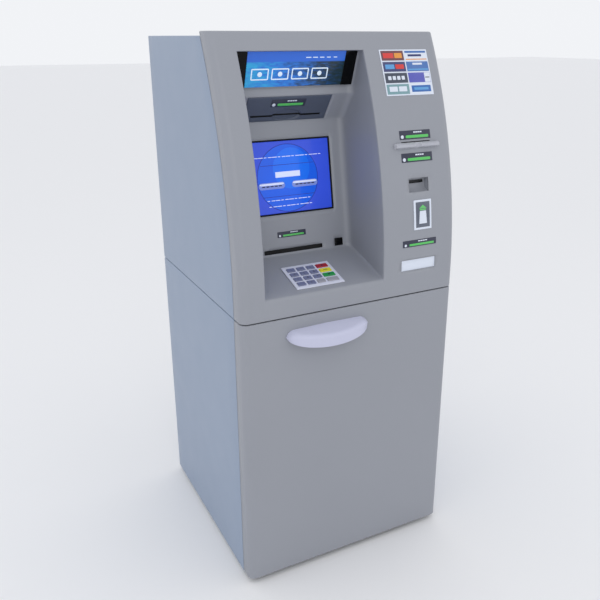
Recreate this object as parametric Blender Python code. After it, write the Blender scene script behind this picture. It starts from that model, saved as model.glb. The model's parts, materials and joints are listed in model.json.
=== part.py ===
"""Lobby cash machine: a safe with a cladding door below, a sliding operator panel above.

Metres, +Z up, +Y to the back, X = 0 on the middle plane. The origin is at the floor, in the
middle of the overall width and depth. Depths are written as distances behind the lower
door's front plane and are moved into place by FRONT_Y.
"""
import math

import bmesh
import bpy
from mathutils import Matrix, Vector

# ---------------------------------------------------------------- driving dimensions
WIDTH = 0.640            # cabinet, side to side
DEPTH = 0.6456           # lower door's front plane to the back
HEIGHT = 1.4516          # top of the upper housing
FASCIA_TOP = 1.462       # the operator panel stands a little above the housing
SEAM_Z = 0.787           # parting line between lower door and operator panel
FOOT_HEIGHT = 0.012
HANDLE_REACH = 0.050     # how far the door pull stands out
PULL_MIDDLE, PULL_HALF = -0.0820, 0.1200      # the door pull's centre line and half width
SHEET = 0.002            # housing sheet
SKIN = 0.003             # door and fascia skin
GAP = 0.0003             # gap between pieces that touch
CORNER = 0.020           # radius of the front's vertical corners
BAND = 0.049             # depth of the side bands of door and fascia
BAND_SEAM = 0.003        # open line behind the bands

ARC_START = 0.832        # the fascia is upright below this height
ARC_RADIUS = 1.376       # and leans back on this arc above it

RECESS_X = (-0.254, 0.088)      # customer recess, side to side
RECESS_TOP = 1.418
SHELF_SLOPE = 0.285             # rise per metre of depth
SHELF_FRONT = (0.005, 0.843)    # depth and height of the shelf's front
BACK_FOOT_D = 0.180             # depth of the recess's back wall at the shelf
BACK_LEAN = math.radians(9.5)   # the back wall leans away from the customer
BACK_TOP_Z = 1.239              # back wall ends, document panel starts
DOC_TOP = (0.186, 1.310)        # document panel's upper edge
SIGN_FOOT = (0.183, 1.329)      # lighted sign's lower edge
SIGN_HEAD = (0.152, 1.418)      # lighted sign's upper edge
SIGN_THICK = 0.006

DOOR_AXIS = (0.3135, 0.0415)    # both lower doors turn about this upright line (x, depth)
PIN_RADIUS = 0.0035
BARREL_RADIUS = 0.0062
BORE_RADIUS = 0.0041
HINGE_BASES = (0.110, 0.610)    # foot of each hinge
KNUCKLE = 0.034                 # height of one knuckle
KNUCKLE_PITCH = 0.036

SAFE_X = 0.300
SAFE_D = (0.100, 0.630)
SAFE_Z = (0.020, 0.775)
SAFE_WALL = 0.012
CHUTE_X = (-0.185, 0.015)       # note path through the safe's roof
CHUTE_D = (0.245, 0.355)
CABLE_HOLE_X, CABLE_HOLE_Z = (0.190, 0.250), (0.050, 0.085)
SLOT_X = (-0.175, 0.001)        # cash slot in the recess
SLOT_Z = (0.8975, 0.9085)
RECEIPT_MIDDLE = 0.2035          # ledge, slot, printer and paper roll are centred on this line
RECEIPT_SLOT_X = (RECEIPT_MIDDLE - 0.045, RECEIPT_MIDDLE + 0.045)
RECEIPT_SLOT_Z = (1.1905, 1.1965)
BOLT_HEIGHTS = (0.200, 0.400, 0.600)
BOLT_D = 0.140
BOLT_RADIUS = 0.009

FRONT_Y = (HANDLE_REACH - DEPTH) / 2


# ---------------------------------------------------------------- form of the front
def front_depth(z):
    """Depth of the fascia's front surface at height z: upright, then an arc leaning back."""
    rise = max(0.0, z - ARC_START)
    return ARC_RADIUS - math.sqrt(ARC_RADIUS**2 - rise**2)


def front_lean(z):
    """Angle between the front surface at height z and the vertical."""
    return math.asin(max(0.0, z - ARC_START) / ARC_RADIUS)


def shelf_height(depth):
    return SHELF_FRONT[1] + SHELF_SLOPE * (depth - SHELF_FRONT[0])


def back_depth(z):
    """Depth of the recess's back wall at height z."""
    return BACK_FOOT_D + math.tan(BACK_LEAN) * (z - shelf_height(BACK_FOOT_D))


def levels(low, high, count):
    return [low + (high - low) * i / count for i in range(count + 1)]


# ---------------------------------------------------------------- mesh helpers
def clear_scene():
    for old in list(bpy.data.objects):
        bpy.data.objects.remove(old, do_unlink=True)


def make_material(name, colour, roughness, metallic=0.0):
    made = bpy.data.materials.new(name)
    made.use_nodes = True
    shader = made.node_tree.nodes["Principled BSDF"]
    shader.inputs["Base Color"].default_value = (*colour, 1.0)
    shader.inputs["Roughness"].default_value = roughness
    shader.inputs["Metallic"].default_value = metallic
    made.diffuse_color = (*colour, 1.0)
    return made


def add_box(bm, x, depth, z, frame=None):
    """A box between two x, two depths and two heights, or in a tilted frame's own axes."""
    made = bmesh.ops.create_cube(bm, size=1.0)["verts"]
    for vert in made:
        spot = [a + (b - a) * (c + 0.5) for (a, b), c in zip((x, depth, z), vert.co)]
        vert.co = frame @ Vector(spot) if frame else Vector((spot[0], spot[1] + FRONT_Y, spot[2]))


def add_prism(bm, outline, span, place):
    """Carries a closed outline of 2-D points from span[0] to span[1]; place(a, b, s) sets it."""
    near = [bm.verts.new(place(a, b, span[0])) for a, b in outline]
    far = [bm.verts.new(place(a, b, span[1])) for a, b in outline]
    bm.faces.new(near)
    bm.faces.new(far)
    for i in range(len(outline)):
        j = (i + 1) % len(outline)
        bm.faces.new((near[i], near[j], far[j], far[i]))


def along_x(d, z, x):
    return Vector((x, d + FRONT_Y, z))


def along_z(x, d, z):
    return Vector((x, d + FRONT_Y, z))


def add_cylinder(bm, centre, axis, radius, length, segments=24):
    """A round bar whose middle is at centre = (x, depth, z)."""
    turn = {"X": Matrix.Rotation(math.pi / 2, 4, "Y"), "Y": Matrix.Rotation(math.pi / 2, 4, "X"),
            "Z": Matrix.Identity(4)}[axis]
    place = Matrix.Translation((centre[0], centre[1] + FRONT_Y, centre[2]))
    bmesh.ops.create_cone(bm, cap_ends=True, segments=segments, radius1=radius, radius2=radius,
                          depth=length, matrix=place @ turn)


def tilted_frame(x, depth, z, lean):
    """Axes on a leaning face: u to the right, v up the face, w out towards the customer."""
    up = Vector((0.0, math.sin(lean), math.cos(lean)))
    out = Vector((0.0, -math.cos(lean), math.sin(lean)))
    frame = Matrix((Vector((1.0, 0.0, 0.0)), up, out)).transposed().to_4x4()
    frame.translation = Vector((x, depth + FRONT_Y, z))
    return frame


def point_faces_out(bm):
    bm.normal_update()
    bmesh.ops.recalc_face_normals(bm, faces=bm.faces)


def solid(name, build, material=None):
    """An object from a function that fills a bmesh."""
    bm = bmesh.new()
    build(bm)
    point_faces_out(bm)
    mesh = bpy.data.meshes.new(name)
    bm.to_mesh(mesh)
    bm.free()
    made = bpy.data.objects.new(name, mesh)
    bpy.context.collection.objects.link(made)
    if material:
        mesh.materials.append(material)
    return made


def set_origin(made, origin):
    """Moves the object's origin to (x, depth, z) and leaves its shape where it is."""
    point = Vector((origin[0], origin[1] + FRONT_Y, origin[2]))
    made.data.transform(Matrix.Translation(-point))
    made.location = point


def combine(target, build, operation="DIFFERENCE"):
    """Cuts or joins the shape that build makes, and keeps the result as the object's mesh."""
    tool = solid("tool", build)
    tool.hide_render = True
    tool.display_type = "WIRE"
    step = target.modifiers.new("combine", "BOOLEAN")
    step.operation = operation
    step.solver = "EXACT"
    step.object = tool
    graph = bpy.context.evaluated_depsgraph_get()
    result = bpy.data.meshes.new_from_object(target.evaluated_get(graph))
    target.modifiers.clear()
    target.data = result
    bpy.data.objects.remove(tool, do_unlink=True)


def smooth(made, angle=30.0):
    made.data.shade_smooth()
    made.data.set_sharp_from_angle(angle=math.radians(angle))


# ---------------------------------------------------------------- outlines
def corner_points(x, depth, side, radius, count=5):
    """A quarter round at a front corner; side is -1 for the left and 1 for the right."""
    points = []
    for i in range(count + 1):
        angle = math.pi / 2 * i / count
        points.append((x - side * radius * (1 - math.cos(angle)), depth + radius * (1 - math.sin(angle))))
    return points


def band_section(inset, rear):
    """Plan outline of the front with round corners, inset from the outer face, rear side flat."""
    half = WIDTH / 2 - inset
    radius = CORNER - inset
    right = corner_points(half, inset, 1, radius)
    left = corner_points(-half, inset, -1, radius)
    return [(half, rear)] + right + left[::-1] + [(-half, rear)]


def add_front_loft(bm, inset, rear, heights):
    """The plan outline carried up the front's curve: each level moves back by front_depth."""
    section = band_section(inset, rear)
    rings = []
    for z in heights:
        back = front_depth(z)
        rings.append([bm.verts.new((x, d + back + FRONT_Y, z)) for x, d in section])
    bm.faces.new(rings[0])
    bm.faces.new(rings[-1])
    for low, high in zip(rings, rings[1:]):
        for i in range(len(section)):
            j = (i + 1) % len(section)
            bm.faces.new((low[i], low[j], high[j], high[i]))


# ---------------------------------------------------------------- lower half: housing and safe
def build_lower_housing(paint):
    back = DEPTH
    front = BAND + BAND_SEAM
    low, high = FOOT_HEIGHT, SEAM_Z - 0.0005
    half = WIDTH / 2

    made = solid("lower_housing", lambda bm: add_box(bm, (-half, half), (front, back), (low, high)), paint)
    combine(made, lambda bm: add_box(bm, (-half + SHEET, half - SHEET), (front - 0.01, back - SHEET),
                                     (low + SHEET, high - SHEET)))
    combine(made, lambda bm: add_box(bm, CHUTE_X, CHUTE_D, (high - 0.01, high + 0.01)))
    combine(made, lambda bm: add_box(bm, CABLE_HOLE_X, (back - 0.01, back + 0.01), CABLE_HOLE_Z))
    return made


def build_safe_body(steel):
    made = solid("safe_body", lambda bm: add_box(bm, (-SAFE_X, SAFE_X), SAFE_D, SAFE_Z), steel)
    inner = SAFE_X - SAFE_WALL
    combine(made, lambda bm: add_box(bm, (-inner, inner), (SAFE_D[0] - 0.01, SAFE_D[1] - SAFE_WALL),
                                     (SAFE_Z[0] + SAFE_WALL, SAFE_Z[1] - SAFE_WALL)))
    combine(made, lambda bm: add_box(bm, CHUTE_X, CHUTE_D, (SAFE_Z[1] - 0.03, SAFE_Z[1] + 0.01)))

    def sockets(bm):
        for z in BOLT_HEIGHTS:
            add_cylinder(bm, (-SAFE_X + SAFE_WALL / 2, BOLT_D, z), "X", BOLT_RADIUS + 0.0015, 0.03, 16)

    combine(made, sockets)
    return made


def build_feet(rubber):
    for side_name, x in (("left", -0.270), ("right", 0.270)):
        for end_name, depth in (("front", 0.100), ("rear", 0.590)):
            foot = solid(f"foot_{end_name}_{side_name}",
                         lambda bm: add_cylinder(bm, (x, depth, (FOOT_HEIGHT - GAP) / 2), "Z", 0.022,
                                                 FOOT_HEIGHT - GAP),
                         rubber)
            smooth(foot)


def knuckle_span(base, number):
    low = base + number * KNUCKLE_PITCH
    return low, low + KNUCKLE


def add_barrel(bm, base, number, radius=BARREL_RADIUS):
    low, high = knuckle_span(base, number)
    add_cylinder(bm, (*DOOR_AXIS, (low + high) / 2), "Z", radius, high - low, 20)


def build_hinge_post(name, base, steel):
    """Fixed leaf on the safe's side with the lowest knuckle and the pin for the other two."""
    low, high = knuckle_span(base, 0)
    made = solid(name, lambda bm: add_barrel(bm, base, 0), steel)
    combine(made, lambda bm: add_box(bm, (SAFE_X + 0.0005, 0.3045), (0.0385, 0.170), (low, high)), "UNION")
    combine(made, lambda bm: add_box(bm, (0.3040, 0.3120), (0.0390, 0.0470), (low + 0.001, high - 0.001)), "UNION")

    def pin(bm):
        top = knuckle_span(base, 2)[1] + 0.003
        add_cylinder(bm, (*DOOR_AXIS, (low + 0.002 + top) / 2), "Z", PIN_RADIUS, top - low - 0.002, 16)

    combine(made, pin, "UNION")
    smooth(made)
    return made


def build_dispenser(steel, plastic, dark):
    """Rack in the safe with four bays, one cassette in each, the reject bin on top."""
    bays = 4
    pitch = 0.146
    floor = 0.045
    made = solid("dispenser_frame",
                 lambda bm: add_box(bm, (-0.209, 0.039), (0.170, 0.590), (floor, floor + bays * pitch + 0.003)),
                 steel)

    def hollows(bm):
        for i in range(bays):
            low = floor + 0.003 + i * pitch
            add_box(bm, (-0.206, 0.036), (0.160, 0.586), (low, low + pitch - 0.003))

    combine(made, hollows)
    names = ["cash_cassette_1", "cash_cassette_2", "cash_cassette_3", "reject_cassette"]
    for i, name in enumerate(names):
        low = floor + 0.004 + i * pitch
        skin = dark if name == "reject_cassette" else plastic
        build_cassette(name, low, pitch - 0.010, skin)
    return made


def build_cassette(name, low, height, plastic):
    """Closed note box with a solid grip rib across its front."""
    made = solid(name, lambda bm: add_box(bm, (-0.203, 0.033), (0.172, 0.560), (low, low + height)), plastic)
    middle = -0.085
    grip = low + height / 2
    combine(made, lambda bm: add_box(bm, (middle - 0.060, middle + 0.060), (0.154, 0.180),
                                     (grip - 0.012, grip + 0.012)), "UNION")


def build_note_transport(steel):
    """Belt unit from the rack through the safe's roof, with a nose that ends behind the slot."""
    made = solid("note_transport", lambda bm: add_box(bm, (-0.178, 0.008), (0.255, 0.345), (0.640, 0.955)), steel)
    combine(made, lambda bm: add_box(bm, (-0.178, 0.008), (0.212, 0.260), (0.875, 0.945)), "UNION")
    combine(made, lambda bm: add_box(bm, (-0.170, 0.000), (0.200, 0.300), (0.8965, 0.9095)))
    return made


# ---------------------------------------------------------------- lower doors
def build_lower_door(paint):
    low, high = 0.016, SEAM_Z - 0.0015
    made = solid("lower_door", lambda bm: add_front_loft(bm, 0.0, BAND, (low, high)), paint)

    def hollow(bm):
        section = band_section(SKIN, BAND + 0.01)
        add_prism(bm, section, (low + SKIN, high - SKIN), along_z)

    combine(made, hollow)

    def notches(bm):
        for base in HINGE_BASES:
            top = knuckle_span(base, 2)[1]
            add_box(bm, (0.300, 0.330), (0.0300, 0.060), (base - 0.004, top + 0.006))

    combine(made, notches)

    def knuckles(bm):
        for base in HINGE_BASES:
            add_barrel(bm, base, 2)

    def straps(bm):
        for base in HINGE_BASES:
            low_k, high_k = knuckle_span(base, 2)
            add_box(bm, (0.3075, 0.3180), (0.0150, 0.0420), (low_k + 0.001, high_k - 0.001))

    combine(made, knuckles, "UNION")
    combine(made, straps, "UNION")

    def bores(bm):
        for base in HINGE_BASES:
            low_k, high_k = knuckle_span(base, 2)
            add_cylinder(bm, (*DOOR_AXIS, (low_k + high_k) / 2), "Z", BORE_RADIUS, KNUCKLE + 0.01, 16)

    combine(made, bores)
    set_origin(made, (*DOOR_AXIS, 0.0))
    smooth(made, 25)
    return made


def add_pull(bm, reach, half, top, slope, drop, inset, overhang):
    """Half-moon ledge: a half ellipse in plan, its top sloping down to a rim that hangs from it."""
    steps = 20
    centre = PULL_MIDDLE
    hub_top = bm.verts.new((centre, -GAP - inset + FRONT_Y, top))
    hub_low = bm.verts.new((centre, -GAP - inset + FRONT_Y, top - drop - overhang))
    upper, lower = [], []
    for i in range(steps + 1):
        angle = math.pi * i / steps
        x = centre + half * math.cos(angle)
        d = -GAP - inset - (reach - GAP - inset) * math.sin(angle)
        z = top - slope * math.sin(angle)
        upper.append(bm.verts.new((x, d + FRONT_Y, z)))
        lower.append(bm.verts.new((x, d + FRONT_Y, top - drop * (0.55 + 0.45 * math.sin(angle)) - overhang)))
    for i in range(steps):
        bm.faces.new((hub_top, upper[i], upper[i + 1]))
        bm.faces.new((upper[i], lower[i], lower[i + 1], upper[i + 1]))
        bm.faces.new((hub_low, lower[i + 1], lower[i]))
    bm.faces.new((hub_top, hub_low, lower[0], upper[0]))
    bm.faces.new((hub_low, hub_top, upper[steps], lower[steps]))


def build_door_handle(plastic):
    wall = 0.004
    made = solid("door_handle",
                 lambda bm: add_pull(bm, HANDLE_REACH, PULL_HALF, 0.754, 0.016, 0.046, 0.0, 0.0), plastic)
    combine(made, lambda bm: add_pull(bm, HANDLE_REACH - wall, PULL_HALF - wall, 0.754 - wall, 0.016,
                                      0.046 - wall, wall, 0.02))
    set_origin(made, (*DOOR_AXIS, 0.0))
    smooth(made, 35)
    return made


def build_safe_door(steel):
    slab_d = (0.058, 0.0985)
    made = solid("safe_door", lambda bm: add_box(bm, (-0.290, 0.285), slab_d, (0.024, 0.768)), steel)
    combine(made, lambda bm: add_box(bm, (-0.266, 0.266), (0.095, 0.128), (0.045, 0.750)), "UNION")

    def pads(bm):
        for base in HINGE_BASES:
            low, high = knuckle_span(base, 1)
            add_box(bm, (0.255, 0.280), (0.0400, 0.0620), (low + 0.002, high - 0.002))

    def straps(bm):
        for base in HINGE_BASES:
            low, high = knuckle_span(base, 1)
            add_box(bm, (0.250, 0.310), (0.0370, 0.0460), (low + 0.001, high - 0.001))

    def barrels(bm):
        for base in HINGE_BASES:
            add_barrel(bm, base, 1)

    def bores(bm):
        for base in HINGE_BASES:
            low, high = knuckle_span(base, 1)
            add_cylinder(bm, (*DOOR_AXIS, (low + high) / 2), "Z", BORE_RADIUS, KNUCKLE + 0.01, 16)

    combine(made, pads, "UNION")
    combine(made, straps, "UNION")
    combine(made, barrels, "UNION")
    combine(made, bores)
    set_origin(made, (*DOOR_AXIS, 0.0))
    smooth(made, 25)
    return made


def build_combination_dial(chrome):
    """Dial knob with a flange, a grip and finger flutes around the grip."""
    centre = (-0.060, 0.0, 0.520)
    made = solid("combination_dial",
                 lambda bm: add_cylinder(bm, (centre[0], 0.0545, centre[2]), "Y", 0.036, 0.006, 32), chrome)
    combine(made, lambda bm: add_cylinder(bm, (centre[0], 0.044, centre[2]), "Y", 0.022, 0.020, 24), "UNION")

    def flutes(bm):
        for i in range(12):
            angle = 2 * math.pi * i / 12
            spot = (centre[0] + 0.0225 * math.cos(angle), 0.040, centre[2] + 0.0225 * math.sin(angle))
            add_cylinder(bm, spot, "Y", 0.0022, 0.022, 8)

    combine(made, flutes)
    set_origin(made, centre)
    smooth(made)
    return made


def build_bolt_handle(chrome):
    """Three-spoke wheel that throws the safe's bolts."""
    x, z = -0.060, 0.380
    made = solid("bolt_handle", lambda bm: add_cylinder(bm, (x, 0.0465, z), "Y", 0.016, 0.022, 24), chrome)

    def spokes(bm):
        for i in range(3):
            angle = math.pi / 2 + 2 * math.pi * i / 3
            turn = Matrix.Rotation(math.pi / 2 - angle, 4, "Y")
            place = Matrix.Translation((x, 0.040 + FRONT_Y, z)) @ turn @ Matrix.Translation((0.0, 0.0, 0.035))
            bmesh.ops.create_cone(bm, cap_ends=True, segments=12, radius1=0.0045, radius2=0.0055,
                                  depth=0.070, matrix=place)

    combine(made, spokes, "UNION")
    set_origin(made, (x, 0.0465, z))
    smooth(made)
    return made


def build_lock_bolts(chrome):
    """Bar behind the safe door that carries three round bolts."""
    made = solid("lock_bolts", lambda bm: add_box(bm, (-0.252, -0.232), (0.1285, 0.1515), (0.170, 0.630)), chrome)

    def bolts(bm):
        for z in BOLT_HEIGHTS:
            add_cylinder(bm, (-0.255, BOLT_D, z), "X", BOLT_RADIUS, 0.034, 20)

    combine(made, bolts, "UNION")
    set_origin(made, (-0.242, BOLT_D, 0.400))
    smooth(made)
    return made


# ---------------------------------------------------------------- upper housing
def build_upper_housing(paint):
    low, high = SEAM_Z + 0.0015, HEIGHT
    reach = BAND + BAND_SEAM
    half = WIDTH / 2

    def profile(inset, rear):
        edge = [(front_depth(z) + reach, z) for z in levels(low + inset, high - inset, 10)]
        return edge + [(rear, high - inset), (rear, low + inset)]

    made = solid("upper_housing", lambda bm: add_prism(bm, profile(0.0, DEPTH), (-half, half), along_x), paint)

    def hollow(bm):
        edge = [(front_depth(z) + reach - 0.02, z) for z in levels(low + SHEET, high - SHEET, 10)]
        outline = edge + [(DEPTH + 0.02, high - SHEET), (DEPTH + 0.02, low + SHEET)]
        add_prism(bm, outline, (-half + SHEET, half - SHEET), along_x)

    combine(made, hollow)
    combine(made, lambda bm: add_box(bm, CHUTE_X, CHUTE_D, (low - 0.01, low + 0.01)))
    return made


def build_rear_panel(paint):
    """Inset service panel with rows of louvre slots."""
    half = WIDTH / 2 - SHEET - 0.0005
    low, high = SEAM_Z + 0.0015 + SHEET + 0.0005, HEIGHT - SHEET - 0.0005
    made = solid("rear_panel", lambda bm: add_box(bm, (-half, half), (DEPTH - 0.005, DEPTH - 0.0035), (low, high)),
                 paint)

    def louvres(bm):
        for column in (-0.150, 0.150):
            for row in range(8):
                z = 1.250 + 0.016 * row
                add_box(bm, (column - 0.070, column + 0.070), (DEPTH - 0.02, DEPTH + 0.01), (z, z + 0.005))

    combine(made, louvres)
    return made


def build_fixed_rail(name, side, steel):
    """C-shaped outer rail on the housing's side, open towards the middle."""
    web = WIDTH / 2 - SHEET - 0.0005
    x = sorted((side * (web - 0.014), side * web))
    made = solid(name, lambda bm: add_box(bm, x, (0.100, 0.620), (0.800, 0.845)), steel)
    hollow = sorted((side * (web - 0.020), side * (web - 0.002)))
    combine(made, lambda bm: add_box(bm, hollow, (0.090, 0.630), (0.802, 0.843)))
    return made


def build_inner_rail(name, side, steel):
    web = WIDTH / 2 - SHEET - 0.0005
    x = sorted((side * (web - 0.014), side * (web - 0.003)))
    return solid(name, lambda bm: add_box(bm, x, (0.020, 0.520), (0.8035, 0.8415)), steel)


def build_computer(grey):
    made = solid("computer_unit", lambda bm: add_box(bm, (0.100, 0.290), (0.400, 0.600), (0.7915, 1.150)), grey)

    def vents(bm):
        for row in range(10):
            z = 0.830 + 0.012 * row
            add_box(bm, (0.120, 0.270), (0.396, 0.403), (z, z + 0.005))

    combine(made, vents)
    return made


# ---------------------------------------------------------------- operator panel
def build_fascia_shell(paint):
    """Curved front with round upright corners, a band round its sides and top, and its cut-outs."""
    low, high = SEAM_Z + 0.0015, FASCIA_TOP
    made = solid("fascia_shell",
                 lambda bm: add_front_loft(bm, 0.0, BAND, [low, ARC_START] + levels(ARC_START, high, 12)[1:]), paint)

    def hollow(bm):
        heights = [low + SKIN, ARC_START] + levels(ARC_START, high - SKIN, 12)[1:]
        add_front_loft(bm, SKIN, BAND + 0.01, heights)

    combine(made, hollow)

    def openings(bm):
        add_box(bm, RECESS_X, (-0.02, 0.160), (shelf_height(0.0) + 0.0002, RECESS_TOP))
        add_box(bm, (0.1692, 0.2359), (0.0, 0.060), (1.0617, 1.1023))
        add_box(bm, RECEIPT_SLOT_X, (0.02, 0.090), RECEIPT_SLOT_Z)
        add_box(bm, (0.143, 0.2557), (-0.02, 0.030), (0.854, 0.886))

    combine(made, openings)
    smooth(made, 25)
    return made


def recess_outline(inset):
    """Side outline of the recess from the shelf's front round to the ceiling; inset grows it."""
    lean = math.tan(BACK_LEAN)
    foot = (BACK_FOOT_D + inset, shelf_height(BACK_FOOT_D) - inset)
    shoulder = (BACK_FOOT_D + lean * (BACK_TOP_Z - shelf_height(BACK_FOOT_D)) + inset, BACK_TOP_Z + 0.2 * inset)
    doc_top = (DOC_TOP[0] + inset, DOC_TOP[1] + inset)
    sign_foot = (SIGN_FOOT[0] + SIGN_THICK + 0.001 + inset, SIGN_FOOT[1] - 0.0005 - inset)
    ledge = (DOC_TOP[0] + inset, SIGN_FOOT[1] - 0.0005 - inset)
    sign_head = (SIGN_HEAD[0] + SIGN_THICK + 0.001 + inset, SIGN_HEAD[1] + 0.0003 + inset)
    return [foot, shoulder, doc_top, ledge, sign_foot, sign_head]


def build_recess_liner(paint):
    """Tray behind the fascia's opening: shelf, side walls, back wall, panel seats and ceiling."""
    wall = 0.003
    start = 0.0035

    def outer(bm):
        top = RECESS_TOP + 0.0003 + wall
        face = [(front_depth(z) + start, z) for z in levels(top, 0.8395, 10)]
        add_prism(bm, face + recess_outline(wall), (RECESS_X[0] - wall, RECESS_X[1] + wall), along_x)

    def cavity(bm):
        top = RECESS_TOP + 0.0003
        face = [(-0.05, top), (-0.05, shelf_height(-0.05))]
        add_prism(bm, face + recess_outline(0.0), RECESS_X, along_x)

    made = solid("recess_liner", outer, paint)
    combine(made, cavity)
    back = tilted_frame(0.0, back_depth(1.0968), 1.0968, BACK_LEAN)
    shelf = keypad_frame()
    document = document_frame()

    def windows(bm):
        add_box(bm, (-0.2175, 0.0460), (-0.0990, 0.0990), (-0.02, 0.02), back)
        add_box(bm, SLOT_X, (0.170, 0.215), SLOT_Z)
        add_box(bm, (0.0406, 0.0666), (0.170, 0.215), (0.8960, 0.9170))
        add_box(bm, (-0.0625, 0.0625), (-0.0440, 0.0440), (-0.02, 0.01), shelf)
        add_box(bm, (-0.1195, 0.1195), (0.0030, 0.0845), (-0.02, 0.02), document)

    combine(made, windows)
    return made


def build_screen(glass, grey):
    back = tilted_frame(0.0, back_depth(1.0968), 1.0968, BACK_LEAN)
    solid("screen_glass", lambda bm: add_box(bm, (-0.2170, 0.0455), (-0.0985, 0.0985), (-0.0035, -0.0005), back), glass)
    made = solid("monitor_housing",
                 lambda bm: add_box(bm, (-0.2250, 0.0535), (-0.1070, 0.1070), (-0.055, -0.0045), back), grey)

    def vents(bm):
        for row in range(8):
            v = -0.080 + 0.020 * row
            add_box(bm, (-0.180, 0.010), (v, v + 0.008), (-0.060, -0.050), back)

    combine(made, vents)


def document_frame():
    """Axes on the document panel, with the origin at the middle of its lower edge."""
    foot = (back_depth(BACK_TOP_Z), BACK_TOP_Z)
    lean = math.atan2(DOC_TOP[0] - foot[0], DOC_TOP[1] - foot[1])
    return tilted_frame(-0.0870, foot[0], foot[1], lean)


def build_document_panel(plastic):
    frame = document_frame()
    made = solid("document_slot_panel",
                 lambda bm: add_box(bm, (-0.1190, 0.1190), (0.0035, 0.0840), (-0.0040, 0.0010), frame), plastic)
    combine(made, lambda bm: add_box(bm, (-0.1010, 0.1010), (0.0206, 0.0244), (-0.01, 0.01), frame))
    return made


def build_statement_printer(dark):
    """Unit behind the document panel, with its paper slot in line with the panel's."""
    frame = document_frame()
    made = solid("statement_printer",
                 lambda bm: add_box(bm, (-0.1150, 0.1150), (0.0070, 0.0790), (-0.1050, -0.0045), frame), dark)
    combine(made, lambda bm: add_box(bm, (-0.1010, 0.1010), (0.0205, 0.0245), (-0.0400, 0.0), frame))
    return made


def build_header_panel(plastic):
    """Lighted sign that fills the top of the recess, leaning out over the customer."""
    lean = math.atan2(SIGN_HEAD[0] - SIGN_FOOT[0], SIGN_HEAD[1] - SIGN_FOOT[1])
    frame = tilted_frame((RECESS_X[0] + RECESS_X[1]) / 2, SIGN_FOOT[0], SIGN_FOOT[1], lean)
    half = (RECESS_X[1] - RECESS_X[0]) / 2 - 0.0005
    height = math.dist(SIGN_HEAD, SIGN_FOOT)
    return solid("header_panel",
                 lambda bm: add_box(bm, (-half, half), (0.0020, height - 0.0025), (-SIGN_THICK, 0.0), frame), plastic)


def keypad_frame():
    """Axes on the sloping shelf at the middle of the key plate; w points out of the shelf."""
    depth = 0.0700
    lean = math.pi / 2 - math.atan(SHELF_SLOPE)
    return tilted_frame(-0.0885, depth, shelf_height(depth), lean)


KEY_WIDTHS = (0.0225, 0.0225, 0.0225, 0.0335)
KEY_HEIGHT = 0.0150
KEY_GAP_U = 0.0060
KEY_GAP_V = 0.0065


def key_places():
    """Middle and width of each key on the plate, row by row from the back, left to right."""
    total = sum(KEY_WIDTHS) + 3 * KEY_GAP_U
    places = []
    for row in range(4):
        v = (1.5 - row) * (KEY_HEIGHT + KEY_GAP_V)
        u = -total / 2
        for width in KEY_WIDTHS:
            places.append((u + width / 2, v, width))
            u += width + KEY_GAP_U
    return places


def build_keypad(steel, key_materials):
    """Plate with a well for each key, and the sixteen keys."""
    frame = keypad_frame()
    plate = solid("keypad_plate",
                  lambda bm: add_box(bm, (-0.0693, 0.0693), (-0.0510, 0.0510), (0.0003, 0.0030), frame), steel)
    combine(plate, lambda bm: add_box(bm, (-0.0620, 0.0620), (-0.0435, 0.0435), (-0.0300, 0.0010), frame), "UNION")

    def wells(bm):
        for u, v, width in key_places():
            add_box(bm, (u - width / 2 - 0.0004, u + width / 2 + 0.0004),
                    (v - KEY_HEIGHT / 2 - 0.0004, v + KEY_HEIGHT / 2 + 0.0004), (-0.0070, 0.01), frame)

    combine(plate, wells)
    for number, (u, v, width) in enumerate(key_places()):
        row, column = divmod(number, 4)
        build_key(f"key_r{row + 1}_c{column + 1}", frame, u, v, width, key_materials[row if column == 3 else 4])


def build_key(name, frame, u, v, width, material):
    """A key cap whose top is a little smaller than its foot; its origin is at its own middle."""
    bm = bmesh.new()
    rings = []
    for w, inset in ((-0.0035, 0.0), (0.0040, 0.0), (0.0052, 0.0010)):
        half_u, half_v = width / 2 - inset, KEY_HEIGHT / 2 - inset
        corners = ((-half_u, -half_v), (half_u, -half_v), (half_u, half_v), (-half_u, half_v))
        rings.append([bm.verts.new(frame @ Vector((u + a, v + b, w))) for a, b in corners])
    bm.faces.new(rings[0])
    bm.faces.new(rings[-1])
    for low, high in zip(rings, rings[1:]):
        for i in range(4):
            bm.faces.new((low[i], low[(i + 1) % 4], high[(i + 1) % 4], high[i]))
    point_faces_out(bm)
    centre = frame @ Vector((u, v, 0.0))
    bmesh.ops.translate(bm, verts=bm.verts, vec=-centre)
    mesh = bpy.data.meshes.new(name)
    bm.to_mesh(mesh)
    bm.free()
    mesh.materials.append(material)
    key = bpy.data.objects.new(name, mesh)
    key.location = centre
    bpy.context.collection.objects.link(key)


def build_cash_shutter(steel):
    """Plate behind the cash slot that slides up along the back wall to open it."""
    middle = (SLOT_Z[0] + SLOT_Z[1]) / 2
    frame = tilted_frame(0.0, back_depth(middle), middle, BACK_LEAN)
    made = solid("cash_shutter",
                 lambda bm: add_box(bm, (SLOT_X[0] - 0.006, SLOT_X[1] + 0.006), (-0.009, 0.009),
                                    (-0.0075, -0.0053), frame), steel)
    point = frame.translation
    made.data.transform(Matrix.Translation(-point))
    made.location = point


# ---------------------------------------------------------------- right-hand column
def column_frame(x, z):
    return tilted_frame(x, front_depth(z), z, front_lean(z))


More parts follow.
